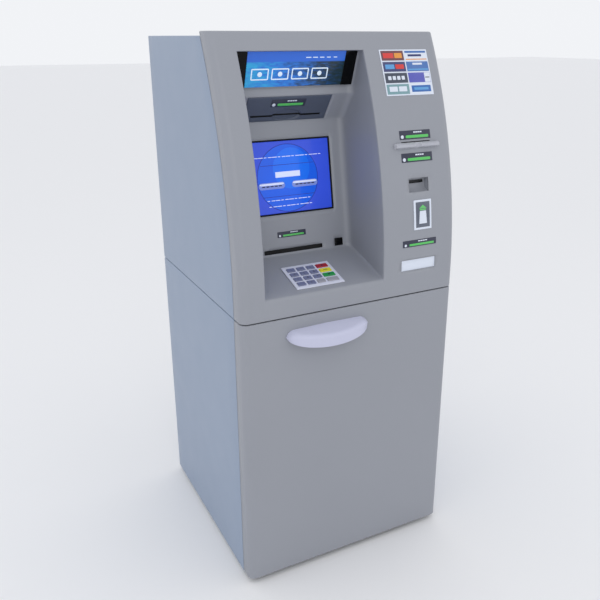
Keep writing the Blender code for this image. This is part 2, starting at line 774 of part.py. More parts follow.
def build_card_station(dark, grey, white):
    """Pocket with the card slot at the back, the reader behind it and the picture plate below."""
    x = (0.1697, 0.2354)
    z = (1.0622, 1.1018)
    depth = (front_depth(1.082) - 0.0005, front_depth(1.082) + 0.024)
    made = solid("card_bezel", lambda bm: add_box(bm, x, depth, z), grey)
    combine(made, lambda bm: add_box(bm, (x[0] + 0.002, x[1] - 0.002), (depth[0] - 0.01, depth[1] - 0.003),
                                     (z[0] + 0.002, z[1] - 0.002)))
    combine(made, lambda bm: add_box(bm, (0.1745, 0.2305), (depth[1] - 0.02, depth[1] + 0.01), (1.0890, 1.0955)))

    reader = solid("card_reader", lambda bm: add_box(bm, (0.160, 0.245), (depth[1] + 0.001, 0.235), (1.050, 1.120)),
                   dark)
    combine(reader, lambda bm: add_box(bm, (0.1745, 0.2305), (0.0, depth[1] + 0.040), (1.0890, 1.0955)))
    sign = column_frame(0.21075, 1.004)
    solid("card_sign", lambda bm: add_box(bm, (-0.0281, 0.0281), (-0.0395, 0.0395), (0.0009, 0.0024), sign), white)


def build_receipt_station(grey, dark, paper):
    """Ledge under the receipt slot, the printer behind it and its paper roll."""
    z = 1.1825
    frame = column_frame(RECEIPT_MIDDLE, z)
    made = solid("receipt_chin",
                 lambda bm: add_box(bm, (-0.069, 0.069), (-0.0062, 0.0070), (0.0003, 0.0140), frame), grey)

    def notch(bm):
        middle = frame @ Matrix.Translation((0.0, 0.0, 0.0165))
        turn = Matrix.Rotation(math.pi / 2, 4, "X")
        bmesh.ops.create_cone(bm, cap_ends=True, segments=20, radius1=0.009, radius2=0.009, depth=0.04,
                              matrix=middle @ turn)

    combine(made, notch)
    body = (RECEIPT_MIDDLE - 0.077, RECEIPT_MIDDLE + 0.078)
    printer = solid("receipt_printer", lambda bm: add_box(bm, body, (0.065, 0.270), (1.135, 1.230)), dark)
    combine(printer, lambda bm: add_box(bm, RECEIPT_SLOT_X, (0.05, 0.100), RECEIPT_SLOT_Z))
    for side in (-1, 1):
        cheek = sorted((RECEIPT_MIDDLE + side * 0.058, RECEIPT_MIDDLE + side * 0.062))
        combine(printer, lambda bm: add_box(bm, cheek, (0.180, 0.250), (1.225, 1.300)), "UNION")
    axle = (RECEIPT_MIDDLE, 0.215, 1.280)
    combine(printer, lambda bm: add_cylinder(bm, axle, "X", 0.0060, 0.123, 16), "UNION")
    roll = solid("paper_roll", lambda bm: add_cylinder(bm, axle, "X", 0.040, 0.080, 32), paper)
    combine(roll, lambda bm: add_cylinder(bm, axle, "X", 0.0085, 0.100, 20))
    set_origin(roll, axle)
    smooth(roll)


def build_signs(white):
    frame = column_frame(0.207, 1.362)
    solid("network_sign", lambda bm: add_box(bm, (-0.074, 0.074), (-0.0600, 0.0600), (0.0018, 0.0032), frame), white)
    window = column_frame(0.19935, 0.870)
    solid("reader_window", lambda bm: add_box(bm, (-0.0595, 0.0595), (-0.019, 0.019), (-0.0060, -0.0038), window), white)


# ---------------------------------------------------------------- the whole machine
def main():
    clear_scene()
    front_paint = make_material("front_paint", (0.30, 0.32, 0.36), 0.45)
    side_paint = make_material("side_paint", (0.30, 0.34, 0.42), 0.45)
    steel = make_material("safe_steel", (0.20, 0.21, 0.23), 0.5, 0.0)
    bright = make_material("bright_steel", (0.62, 0.63, 0.65), 0.3, 1.0)
    zinc = make_material("zinc_sheet", (0.50, 0.51, 0.52), 0.45, 1.0)
    rubber = make_material("foot_rubber", (0.03, 0.03, 0.03), 0.8)
    pull = make_material("pull_plastic", (0.50, 0.51, 0.60), 0.4)
    cassette = make_material("cassette_plastic", (0.10, 0.11, 0.13), 0.5)
    dark = make_material("dark_plastic", (0.05, 0.05, 0.06), 0.5)
    slot_grey = make_material("document_plastic", (0.08, 0.10, 0.14), 0.45)
    glass = make_material("screen_surface", (0.03, 0.09, 0.65), 0.2)
    sign_blue = make_material("sign_surface", (0.04, 0.20, 0.62), 0.3)
    white = make_material("white_plastic", (0.75, 0.78, 0.82), 0.4)
    paper = make_material("paper", (0.85, 0.85, 0.83), 0.8)
    key_plate = make_material("key_plate", (0.50, 0.52, 0.62), 0.4, 0.3)
    keys = [make_material("key_red", (0.30, 0.02, 0.03), 0.4),
            make_material("key_yellow", (0.65, 0.62, 0.06), 0.4),
            make_material("key_green", (0.03, 0.28, 0.08), 0.4),
            make_material("key_blank", (0.35, 0.37, 0.42), 0.4),
            make_material("key_slate", (0.13, 0.16, 0.27), 0.4)]

    build_lower_housing(side_paint)
    build_safe_body(steel)
    build_feet(rubber)
    build_hinge_post("hinge_post_lower", HINGE_BASES[0], bright)
    build_hinge_post("hinge_post_upper", HINGE_BASES[1], bright)
    build_dispenser(zinc, cassette, dark)
    build_note_transport(zinc)
    build_lower_door(front_paint)
    build_door_handle(pull)
    build_safe_door(steel)
    build_combination_dial(bright)
    build_bolt_handle(bright)
    build_lock_bolts(bright)

    build_upper_housing(side_paint)
    build_rear_panel(side_paint)
    for side_name, side in (("left", -1), ("right", 1)):
        build_fixed_rail(f"fixed_rail_{side_name}", side, zinc)
        build_inner_rail(f"inner_rail_{side_name}", side, bright)
    build_computer(zinc)
    build_fascia_shell(front_paint)
    build_recess_liner(front_paint)
    build_screen(glass, dark)
    build_document_panel(slot_grey)
    build_statement_printer(dark)
    build_header_panel(sign_blue)
    build_keypad(key_plate, keys)
    build_cash_shutter(zinc)
    build_card_station(dark, front_paint, white)
    build_receipt_station(front_paint, dark, paper)
    build_signs(white)


main()
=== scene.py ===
"""Lobby cash machine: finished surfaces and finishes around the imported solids.

Metres, +Z up. Depth means distance behind the lower door's front plane, y = FRONT + depth.
"""
import json
import math

import bmesh
import bpy
import numpy as np
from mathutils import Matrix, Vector


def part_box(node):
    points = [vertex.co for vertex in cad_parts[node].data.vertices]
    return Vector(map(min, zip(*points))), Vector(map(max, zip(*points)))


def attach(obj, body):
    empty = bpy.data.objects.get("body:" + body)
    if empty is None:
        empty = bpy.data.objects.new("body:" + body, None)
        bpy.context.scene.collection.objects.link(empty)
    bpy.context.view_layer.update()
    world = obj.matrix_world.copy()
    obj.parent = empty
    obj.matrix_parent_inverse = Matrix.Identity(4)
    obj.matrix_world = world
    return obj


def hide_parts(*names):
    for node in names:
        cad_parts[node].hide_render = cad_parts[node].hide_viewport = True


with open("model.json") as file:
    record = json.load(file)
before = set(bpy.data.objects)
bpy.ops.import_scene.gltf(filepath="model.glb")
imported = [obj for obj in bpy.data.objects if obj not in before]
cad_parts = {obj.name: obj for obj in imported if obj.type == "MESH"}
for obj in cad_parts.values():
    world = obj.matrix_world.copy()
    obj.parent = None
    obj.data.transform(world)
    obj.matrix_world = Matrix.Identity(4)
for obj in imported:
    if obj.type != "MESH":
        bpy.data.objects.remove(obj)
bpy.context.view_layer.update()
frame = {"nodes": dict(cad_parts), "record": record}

# ---------------------------------------------------------------- sizes shared with the solids
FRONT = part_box("lower_door")[0][1]                     # y of the lower door's front plane
HALF_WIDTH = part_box("lower_door")[1][0]
DOOR_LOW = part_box("lower_door")[0][2]
DOOR_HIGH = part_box("lower_door")[1][2]
PANEL_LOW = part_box("fascia_shell")[0][2]
PANEL_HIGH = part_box("fascia_shell")[1][2]
SKIN = 0.0025              # wall of the moulded front and of the door
SHEET = 0.0020             # wall of the folded casings
SEAM = 0.0030              # gap between the moulded bands and the casings
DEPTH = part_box("lower_housing")[1][1] - FRONT
CHUTE_X, CHUTE_D = (-0.185, 0.015), (0.245, 0.355)
CORNER = 0.020             # radius of the upright corners
BAND = 0.049               # depth of the band that wraps round the sides
BAND_NOTCH = 0.035         # where the band's side is divided on the operator front
KNUCKLE_NOTCH = 0.030      # and on the door, which is cut away behind it for its hinges
ARC_START = 0.832          # the front is upright below this height
ARC_RADIUS = 1.376         # and leans back on this arc above it

RECESS_LEFT, RECESS_RIGHT = -0.254, 0.088
RECESS_TOP = 1.4176
SHELF_SLOPE = 0.285
SHELF_LIP_Z = 0.8416
BACK_FOOT = (0.180, 0.8929)
BACK_LEAN = math.radians(9.5)
BACK_TOP = (0.2379, 1.239)
DOC_TOP = (0.186, 1.310)
SIGN_FOOT = (0.183, 1.329)
SIGN_HEAD = (0.152, 1.418)
JAMB_LIP = 0.0045
JAMB_FILLET = 0.016

MIDDLE_X = -0.087          # the customer's fittings are centred on this line
SCREEN_Z = 1.0968
SCREEN_X = (-0.2175, 0.0460)
SCREEN_HALF_V = 0.0990
SLOT_X = (-0.175, 0.001)
SLOT_Z = (0.8975, 0.9085)
PEEP_X = (0.0406, 0.0666)
PEEP_Z = (0.8960, 0.9170)
POCKET_X = (0.1715, 0.2336)
POCKET_Z = (1.0640, 1.1000)
DOCUMENT_X = (MIDDLE_X - 0.1195, MIDDLE_X + 0.1195)
DOCUMENT_V = (0.0030, 0.0845)
RECEIPT_MIDDLE = 0.2035
RECEIPT_X = (RECEIPT_MIDDLE - 0.0450, RECEIPT_MIDDLE + 0.0450)
RECEIPT_Z = (1.1905, 1.1925)
WINDOW_X = (0.143, 0.2557)
WINDOW_Z = (0.854, 0.886)
DOOR_AXIS = (0.3135, 0.0415)
HINGE_BASES = (0.110, 0.610)
CABLE_HOLE_X = (0.190, 0.250)
CABLE_HOLE_Z = (0.050, 0.085)


def srgb(red, green, blue):
    """Linear colour of a display colour with channels from 0 to 255."""
    channels = np.array([red, green, blue]) / 255.0
    linear = np.where(channels <= 0.04045, channels / 12.92, ((channels + 0.055) / 1.055) ** 2.4)
    return tuple(float(c) for c in linear)


# ---------------------------------------------------------------- form of the front
def front_depth(z):
    """Upright below ARC_START, above it an arc: depth = R - sqrt(R^2 - rise^2)."""
    rise = np.maximum(0.0, np.asarray(z, float) - ARC_START)
    return ARC_RADIUS - np.sqrt(ARC_RADIUS**2 - rise**2)


def back_depth(z):
    """Leaning back wall: depth grows with the tangent of its lean above the shelf."""
    return BACK_FOOT[0] + math.tan(BACK_LEAN) * (z - BACK_FOOT[1])


def leaning(x, depth, z, lean):
    """place(u, v, w) = origin + u right + v up the leaning face + w out towards the customer."""
    origin = np.array([x, FRONT + depth, z])
    right = np.array([1.0, 0.0, 0.0])
    up = np.array([0.0, math.sin(lean), math.cos(lean)])
    out = np.array([0.0, -math.cos(lean), math.sin(lean)])

    def place(u, v, w):
        u, v, w = np.broadcast_arrays(*(np.asarray(c, float) for c in (u, v, w)))
        return origin + u[..., None] * right + v[..., None] * up + w[..., None] * out

    return place


def on_front(x, z):
    """place(u, v, w) on the curved front: v runs along the arc from height z, w stands out of it."""
    start = math.asin((z - ARC_START) / ARC_RADIUS)

    def place(u, v, w):
        u, v, w = np.broadcast_arrays(*(np.asarray(c, float) for c in (u, v, w)))
        turn = start + v / ARC_RADIUS
        depth = ARC_RADIUS - (ARC_RADIUS + w) * np.cos(turn)
        height = ARC_START + (ARC_RADIUS + w) * np.sin(turn)
        return np.stack([x + u, FRONT + depth, height], axis=-1)

    return place


def turned_aside(x, depth, z):
    """place(u, v, w) on an upright face that looks along +X: u runs back, v up, w out."""
    def place(u, v, w):
        u, v, w = np.broadcast_arrays(*(np.asarray(c, float) for c in (u, v, w)))
        return np.stack([x + w, FRONT + depth + u, z + v], axis=-1)

    return place


BACK = leaning(0.0, back_depth(SCREEN_Z), SCREEN_Z, BACK_LEAN)
SHELF_DEPTH = 0.0700
SHELF = leaning(-0.0885, SHELF_DEPTH, SHELF_LIP_Z + SHELF_SLOPE * SHELF_DEPTH,
                math.pi / 2 - math.atan(SHELF_SLOPE))
DOC_LEAN = math.atan2(DOC_TOP[0] - BACK_TOP[0], DOC_TOP[1] - BACK_TOP[1])
DOC = leaning(MIDDLE_X, BACK_TOP[0], BACK_TOP[1], DOC_LEAN)
SIGN_LEAN = math.atan2(SIGN_HEAD[0] - SIGN_FOOT[0], SIGN_HEAD[1] - SIGN_FOOT[1])
SIGN = leaning((RECESS_LEFT + RECESS_RIGHT) / 2, SIGN_FOOT[0], SIGN_FOOT[1], SIGN_LEAN)


# ---------------------------------------------------------------- shapes as point and face arrays
def grid_quads(rows, columns, keep=None):
    """Quads of a rows x columns grid, counter-clockwise seen with columns right and rows up."""
    index = np.arange(rows * columns).reshape(rows, columns)
    quads = np.stack([index[:-1, :-1], index[:-1, 1:], index[1:, 1:], index[1:, :-1]], axis=-1)
    if keep is not None:
        quads = quads[keep]
    return quads.reshape(-1, 4).tolist()


def ring_stack(rings, cap_first=True, cap_last=True):
    """Closed rings of equal count stacked into a tube, with a flat cap on either end."""
    count = rings.shape[1]
    index = np.arange(rings.shape[0] * count).reshape(rings.shape[0], count)
    wrapped = np.concatenate([index, index[:, :1]], axis=1)
    quads = np.stack([wrapped[:-1, :-1], wrapped[:-1, 1:], wrapped[1:, 1:], wrapped[1:, :-1]], axis=-1)
    faces = quads.reshape(-1, 4).tolist()
    if cap_first:
        faces.append(index[0, ::-1].tolist())
    if cap_last:
        faces.append(index[-1].tolist())
    return rings.reshape(-1, 3), faces


def rounded_path(corners, radii, steps=6):
    """Open path of 2-D corners with each inner corner replaced by an arc of its radius."""
    corners = np.asarray(corners, float)
    pieces = [corners[:1]]
    for before, corner, after, radius in zip(corners[:-2], corners[1:-1], corners[2:], radii):
        inward = (before - corner) / np.linalg.norm(before - corner)
        onward = (after - corner) / np.linalg.norm(after - corner)
        half = math.acos(float(np.clip(inward @ onward, -1.0, 1.0))) / 2
        centre = corner + (inward + onward) / np.linalg.norm(inward + onward) * radius / math.sin(half)
        first = corner + inward * radius / math.tan(half) - centre
        last = corner + onward * radius / math.tan(half) - centre
        turn = math.pi - 2 * half
        t = np.linspace(0.0, 1.0, steps + 1)[:, None]
        pieces.append(centre + (np.sin((1 - t) * turn) * first + np.sin(t * turn) * last) / math.sin(turn))
    pieces.append(corners[-1:])
    return np.concatenate(pieces)


def round_rectangle(half_u, half_v, radius, steps=5):
    """Rectangle with quarter rounds, counter-clockwise: corner centre + radius (cos, sin)."""
    quarter = np.linspace(0.0, math.pi / 2, steps + 1)
    angle = np.concatenate([quarter + k * math.pi / 2 for k in range(4)])
    sign_u = np.repeat([1, -1, -1, 1], steps + 1)
    sign_v = np.repeat([1, 1, -1, -1], steps + 1)
    u = sign_u * (half_u - radius) + radius * np.cos(angle)
    v = sign_v * (half_v - radius) + radius * np.sin(angle)
    return np.stack([u, v], axis=-1)


def circle(radius, count=32):
    """Points of radius (cos, sin), counter-clockwise."""
    angle = np.linspace(0.0, 2 * math.pi, count, endpoint=False)
    return np.stack([radius * np.cos(angle), radius * np.sin(angle)], axis=-1)


def shrunk(outline, inset):
    """A convex outline with every point moved inwards along its two edges' mean normal."""
    along = np.roll(outline, -1, axis=0) - np.roll(outline, 1, axis=0)
    normal = np.stack([-along[:, 1], along[:, 0]], axis=-1)
    normal /= np.maximum(np.linalg.norm(normal, axis=1, keepdims=True), 1e-9)
    return outline + normal * inset


def slab(place, outline, low, high, edge=0.0003, at=(0.0, 0.0)):
    """A plate of any convex outline from w = low to high, its top edge rounded by two steps."""
    outline = np.asarray(outline, float)
    levels = [(0.0, low), (0.0, high - edge), (0.3 * edge, high - 0.3 * edge), (edge, high)]
    rings = []
    for inset, w in levels:
        ring = shrunk(outline, inset) + np.asarray(at)
        rings.append(place(ring[:, 0], ring[:, 1], w))
    return ring_stack(np.stack(rings))


def box_outline(half_u, half_v):
    """Corners of a rectangle, counter-clockwise."""
    return np.array([[-half_u, -half_v], [half_u, -half_v], [half_u, half_v], [-half_u, half_v]])


def panel(place, u, v, low, high, edge=0.0004, cells=(2, 8)):
    """A rectangular plate that follows a curved face: w is the lower of its edge profiles in u and v."""
    def profile(span, count):
        flat = np.linspace(span[0] + edge, span[1] - edge, count + 1)
        across = np.concatenate([[span[0], span[0]], flat, [span[1], span[1]]])
        height = np.concatenate([[low, high - edge], np.full(count + 1, high), [high - edge, low]])
        return across, height

    us, hu = profile(u, cells[0])
    vs, hv = profile(v, cells[1])
    w = np.minimum(hu[None, :], hv[:, None])
    points = place(np.broadcast_to(us, w.shape), np.broadcast_to(vs[:, None], w.shape), w)
    faces = grid_quads(*w.shape)
    index = np.arange(w.size).reshape(w.shape)
    rim = np.concatenate([index[0, :-1], index[:-1, -1], index[-1, :0:-1], index[:0:-1, 0]])
    faces.append(rim[::-1].tolist())
    return points.reshape(-1, 3), faces


def laid(place, outline, low, high, material, edge=0.0003, at=(0.0, 0.0)):
    """One slab with its finish, as piece() takes it."""
    return (*slab(place, outline, low, high, edge, at), material)


def plated(place, u, v, low, high, material, edge=0.0004, cells=(2, 8)):
    """One curved panel with its finish, as piece() takes it."""
    return (*panel(place, u, v, low, high, edge, cells), material)


def frame_ring(place, half_u, half_v, radius, profile):
    """A closed section (s outwards, w) carried round a round-cornered rectangle."""
    rings = []
    for s, w in profile:
        line = round_rectangle(half_u + s, half_v + s, max(radius + s, 0.0002))
        rings.append(place(line[:, 0], line[:, 1], w))
    rings.append(rings[0])
    return ring_stack(np.stack(rings), cap_first=False, cap_last=False)


def lathe(centre, axis, profile, count=48):
    """Turned piece: (distance along the axis, radius) pairs spun about an axis through centre."""
    angle = np.linspace(0.0, 2 * math.pi, count, endpoint=False)
    along, radius = np.asarray(profile, float).T
    ring_a = radius[:, None] * np.cos(angle)
    ring_b = radius[:, None] * np.sin(angle)
    line = np.broadcast_to(along[:, None], ring_a.shape)
    order = {"X": (line, ring_a, ring_b), "Y": (ring_b, line, ring_a), "Z": (ring_a, ring_b, line)}[axis]
    return ring_stack(np.stack(order, axis=-1) + np.asarray(centre))


# ---------------------------------------------------------------- objects
def piece(name, shapes, body, stands_for=(), slot=None, angle=35.0, weld=2e-6, closed=True):
    """Joins shapes = [(points, faces, material), ...] into one mesh that rides on a body."""
    points, faces, finish_index, finishes = [], [], [], []
    start = 0
    for shape_points, shape_faces, material in shapes:
        if material not in finishes:
            finishes.append(material)
        points.append(np.asarray(shape_points, float))
        faces += [(np.asarray(face) + start).tolist() for face in shape_faces]
        finish_index += [finishes.index(material)] * len(shape_faces)
        start += len(shape_points)
    mesh = bpy.data.meshes.new(name)
    mesh.from_pydata(np.concatenate(points).tolist(), [], faces)
    mesh.polygons.foreach_set("material_index", finish_index)
    for material in finishes:
        mesh.materials.append(material)
    work = bmesh.new()
    work.from_mesh(mesh)
    bmesh.ops.remove_doubles(work, verts=work.verts, dist=weld)
    bmesh.ops.dissolve_degenerate(work, edges=work.edges, dist=1e-7)
    if closed:
        work.normal_update()
        bmesh.ops.recalc_face_normals(work, faces=work.faces)
    work.to_mesh(mesh)
    work.free()
    mesh.shade_smooth()
    mesh.set_sharp_from_angle(angle=math.radians(angle))
    made = bpy.data.objects.new(name, mesh)
    bpy.context.collection.objects.link(made)
    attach(made, body)
    if stands_for:
        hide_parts(*stands_for)
    return made


def thicken(made, thickness):
    """Gives an open sheet its wall, inwards from the face that shows."""
    wall = made.modifiers.new("wall", "SOLIDIFY")
    wall.thickness = thickness
    wall.offset = -1.0


# ---------------------------------------------------------------- finishes
def new_group(name, inputs, outputs):
    """An empty shader node group with named sockets, and its input and output nodes."""
    group = bpy.data.node_groups.new(name, "ShaderNodeTree")
    for label, kind, value in inputs:
        socket = group.interface.new_socket(name=label, in_out="INPUT", socket_type=kind)
        socket.default_value = value
    for label, kind in outputs:
        group.interface.new_socket(name=label, in_out="OUTPUT", socket_type=kind)
    return group, group.nodes.new("NodeGroupInput"), group.nodes.new("NodeGroupOutput")


def math_node(nodes, operation, *values):
    """One arithmetic step on numbers or sockets."""
    made = nodes.new("ShaderNodeMath")
    made.operation = operation
    for socket, value in zip(made.inputs, values):
        if isinstance(value, (int, float)):
            socket.default_value = value
        else:
            made.id_data.links.new(value, socket)
    return made.outputs[0]


def noise_node(nodes, vector, scale, detail=3.0):
    """Value noise over a position, from 0 to 1."""
    made = nodes.new("ShaderNodeTexNoise")
    made.inputs["Detail"].default_value = detail
    nodes.id_data.links.new(vector, made.inputs["Vector"])
    if isinstance(scale, (int, float)):
        made.inputs["Scale"].default_value = scale
    else:
        nodes.id_data.links.new(scale, made.inputs["Scale"])
    return made.outputs["Fac"]


def mix_colour(nodes, factor, first, second):
    """first x (1 - factor) + second x factor, each a colour or a socket."""
    made = nodes.new("ShaderNodeMix")
    made.data_type = "RGBA"
    links = nodes.id_data.links
    links.new(factor, made.inputs["Factor"])
    for socket, value in ((made.inputs[6], first), (made.inputs[7], second)):
        if isinstance(value, tuple):
            socket.default_value = (*value[:3], 1.0)
        else:
            links.new(value, socket)
    return made.outputs[2]


def build_coat_group():
    """Sprayed coat: fine orange-peel height, broad drift of tone and a mask of rubbed edges."""
    group, given, result = new_group(
        "sprayed_coat",
        [("Vector", "NodeSocketVector", (0.0, 0.0, 0.0)), ("Grain", "NodeSocketFloat", 900.0),
         ("Drift", "NodeSocketFloat", 3.0)],
        [("Height", "NodeSocketFloat"), ("Tone", "NodeSocketFloat"), ("Smudge", "NodeSocketFloat"),
         ("Edge", "NodeSocketFloat")])
    nodes, links = group.nodes, group.links
    fine = noise_node(nodes, given.outputs["Vector"], given.outputs["Grain"], 2.0)
    broad_scale = math_node(nodes, "MULTIPLY", given.outputs["Grain"], 0.12)
    broad = noise_node(nodes, given.outputs["Vector"], broad_scale, 1.0)
    height = math_node(nodes, "MULTIPLY_ADD", broad, 0.5, math_node(nodes, "MULTIPLY", fine, 0.5))
    tone = noise_node(nodes, given.outputs["Vector"], given.outputs["Drift"], 4.0)
    smudge_scale = math_node(nodes, "MULTIPLY", given.outputs["Drift"], 4.0)
    smudge = noise_node(nodes, given.outputs["Vector"], smudge_scale, 6.0)
    shape = nodes.new("ShaderNodeNewGeometry")
    edge = nodes.new("ShaderNodeMapRange")
    links.new(shape.outputs["Pointiness"], edge.inputs["Value"])
    edge.inputs["From Min"].default_value = 0.53
    edge.inputs["From Max"].default_value = 0.62
    worn = math_node(nodes, "MULTIPLY", edge.outputs["Result"], smudge)
    for label, value in (("Height", height), ("Tone", tone), ("Smudge", smudge), ("Edge", worn)):
        links.new(value, result.inputs[label])
    return group


def build_brush_group():
    """Brushed metal: noise drawn out along one axis for the lines, with a slow tone drift."""
    group, given, result = new_group(
        "brushed_lines",
        [("Vector", "NodeSocketVector", (0.0, 0.0, 0.0)),
         ("Stretch", "NodeSocketVector", (40.0, 900.0, 900.0))],
        [("Height", "NodeSocketFloat"), ("Tone", "NodeSocketFloat")])
    nodes, links = group.nodes, group.links
    scaled = nodes.new("ShaderNodeVectorMath")
    scaled.operation = "MULTIPLY"
    links.new(given.outputs["Vector"], scaled.inputs[0])
    links.new(given.outputs["Stretch"], scaled.inputs[1])
    links.new(noise_node(nodes, scaled.outputs[0], 1.0, 2.0), result.inputs["Height"])
    links.new(noise_node(nodes, given.outputs["Vector"], 14.0, 3.0), result.inputs["Tone"])
    return group


COAT = build_coat_group()
BRUSH = build_brush_group()


def blank(name, roughness, metallic=0.0, coat=0.0, coat_roughness=0.1, specular=0.5):
    """A material with a Principled shader whose constant sockets are set, and object coordinates."""
    made = bpy.data.materials.new(name)
    made.use_nodes = True
    nodes = made.node_tree.nodes
    shader = nodes["Principled BSDF"]
    shader.inputs["Roughness"].default_value = roughness
    shader.inputs["Metallic"].default_value = metallic
    shader.inputs["Coat Weight"].default_value = coat
    shader.inputs["Coat Roughness"].default_value = coat_roughness
    shader.inputs["Specular IOR Level"].default_value = specular
    place = nodes.new("ShaderNodeTexCoord").outputs["Object"]
    return made, nodes, made.node_tree.links, shader, place


def add_bump(nodes, links, shader, height, strength, distance):
    """Tilts the shading by the slope of a height, distance metres deep."""
    bump = nodes.new("ShaderNodeBump")
    bump.inputs["Strength"].default_value = strength
    bump.inputs["Distance"].default_value = distance
    links.new(height, bump.inputs["Height"])
    links.new(bump.outputs["Normal"], shader.inputs["Normal"])


def coated(name, colour, roughness=0.42, grain=900.0, depth=0.00006, drift=3.0, vary=0.06, wear=0.35,
           glow=0.0, coat=0.0, specular=0.5):
    """Paint or moulded plastic: grain in the surface, tone drift, smudges in the gloss, rubbed edges."""
    made, nodes, links, shader, place = blank(name, roughness, coat=coat, specular=specular)
    effect = nodes.new("ShaderNodeGroup")
    effect.node_tree = COAT
    effect.inputs["Grain"].default_value = grain
    effect.inputs["Drift"].default_value = drift
    links.new(place, effect.inputs["Vector"])
    dark = tuple(c * (1 - vary) for c in colour)
    light = tuple(min(1.0, c * (1 + vary)) for c in colour)
    rubbed = tuple(c + (1 - c) * wear * 0.5 for c in colour)
    base = mix_colour(nodes, effect.outputs["Tone"], dark, light)
    shown = mix_colour(nodes, effect.outputs["Edge"], base, rubbed)
    links.new(shown, shader.inputs["Base Color"])
    gloss = math_node(nodes, "MULTIPLY_ADD", effect.outputs["Smudge"], 0.16, roughness - 0.08)
    links.new(gloss, shader.inputs["Roughness"])
    add_bump(nodes, links, shader, effect.outputs["Height"], 0.6, depth)
    # glow makes the colour shine by itself: painted light, on parts that hold no lamp
    if glow:
        links.new(shown, shader.inputs["Emission Color"])
        shader.inputs["Emission Strength"].default_value = glow
    return made


def brushed(name, colour, roughness=0.32, stretch=(30.0, 900.0, 900.0), depth=0.00003):
    """Brushed steel: lines drawn out along X in tone, gloss and height."""
    made, nodes, links, shader, place = blank(name, roughness, metallic=1.0)
    effect = nodes.new("ShaderNodeGroup")
    effect.node_tree = BRUSH
    effect.inputs["Stretch"].default_value = stretch
    links.new(place, effect.inputs["Vector"])
    links.new(mix_colour(nodes, effect.outputs["Tone"], tuple(c * 0.9 for c in colour), colour),
              shader.inputs["Base Color"])
    links.new(math_node(nodes, "MULTIPLY_ADD", effect.outputs["Height"], 0.2, roughness - 0.1),
              shader.inputs["Roughness"])
    add_bump(nodes, links, shader, effect.outputs["Height"], 0.5, depth)
    return made


def hammered(name, colour):
    """Hammer-finish enamel on the safe: small cells raised by a Voronoi pattern."""
    made, nodes, links, shader, place = blank(name, 0.38)
    cells = nodes.new("ShaderNodeTexVoronoi")
    cells.feature = "SMOOTH_F1"
    cells.inputs["Scale"].default_value = 260.0
    links.new(place, cells.inputs["Vector"])
    drift = noise_node(nodes, place, 5.0, 4.0)
    links.new(mix_colour(nodes, drift, tuple(c * 0.8 for c in colour), tuple(c * 1.15 for c in colour)),
              shader.inputs["Base Color"])
    links.new(math_node(nodes, "MULTIPLY_ADD", cells.outputs["Distance"], 0.2, 0.3),
              shader.inputs["Roughness"])
    add_bump(nodes, links, shader, cells.outputs["Distance"], 0.5, 0.0003)
    return made


def spangled(name, colour):
    """Zinc-plated sheet: crystal patches of slightly different tone."""
    made, nodes, links, shader, place = blank(name, 0.4, metallic=1.0)
    cells = nodes.new("ShaderNodeTexVoronoi")
    cells.inputs["Scale"].default_value = 70.0
    links.new(place, cells.inputs["Vector"])
    grey = nodes.new("ShaderNodeRGBToBW")
    links.new(cells.outputs["Color"], grey.inputs[0])
    links.new(mix_colour(nodes, grey.outputs[0], tuple(c * 0.82 for c in colour), colour),
              shader.inputs["Base Color"])
    links.new(math_node(nodes, "MULTIPLY_ADD", grey.outputs[0], 0.16, 0.32), shader.inputs["Roughness"])
    add_bump(nodes, links, shader, noise_node(nodes, place, 400.0, 2.0), 0.3, 0.00005)
    return made


def wound_paper(name):
    """Paper roll: rings on the end faces from the distance to the roll's axis."""
    made, nodes, links, shader, place = blank(name, 0.85)
    low, high = (np.array(c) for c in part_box("paper_roll"))
    centre = (low + high) / 2
    shift = nodes.new("ShaderNodeMapping")
    shift.inputs["Location"].default_value = tuple(-centre)
    links.new(place, shift.inputs["Vector"])
    rings = nodes.new("ShaderNodeTexWave")
    rings.wave_type = "RINGS"
    rings.rings_direction = "X"
    rings.inputs["Scale"].default_value = 260.0
    rings.inputs["Distortion"].default_value = 0.4
    links.new(shift.outputs[0], rings.inputs["Vector"])
    links.new(mix_colour(nodes, rings.outputs["Fac"], (0.62, 0.61, 0.58), (0.84, 0.83, 0.80)),
              shader.inputs["Base Color"])
    add_bump(nodes, links, shader, rings.outputs["Fac"], 0.4, 0.0002)
    return made


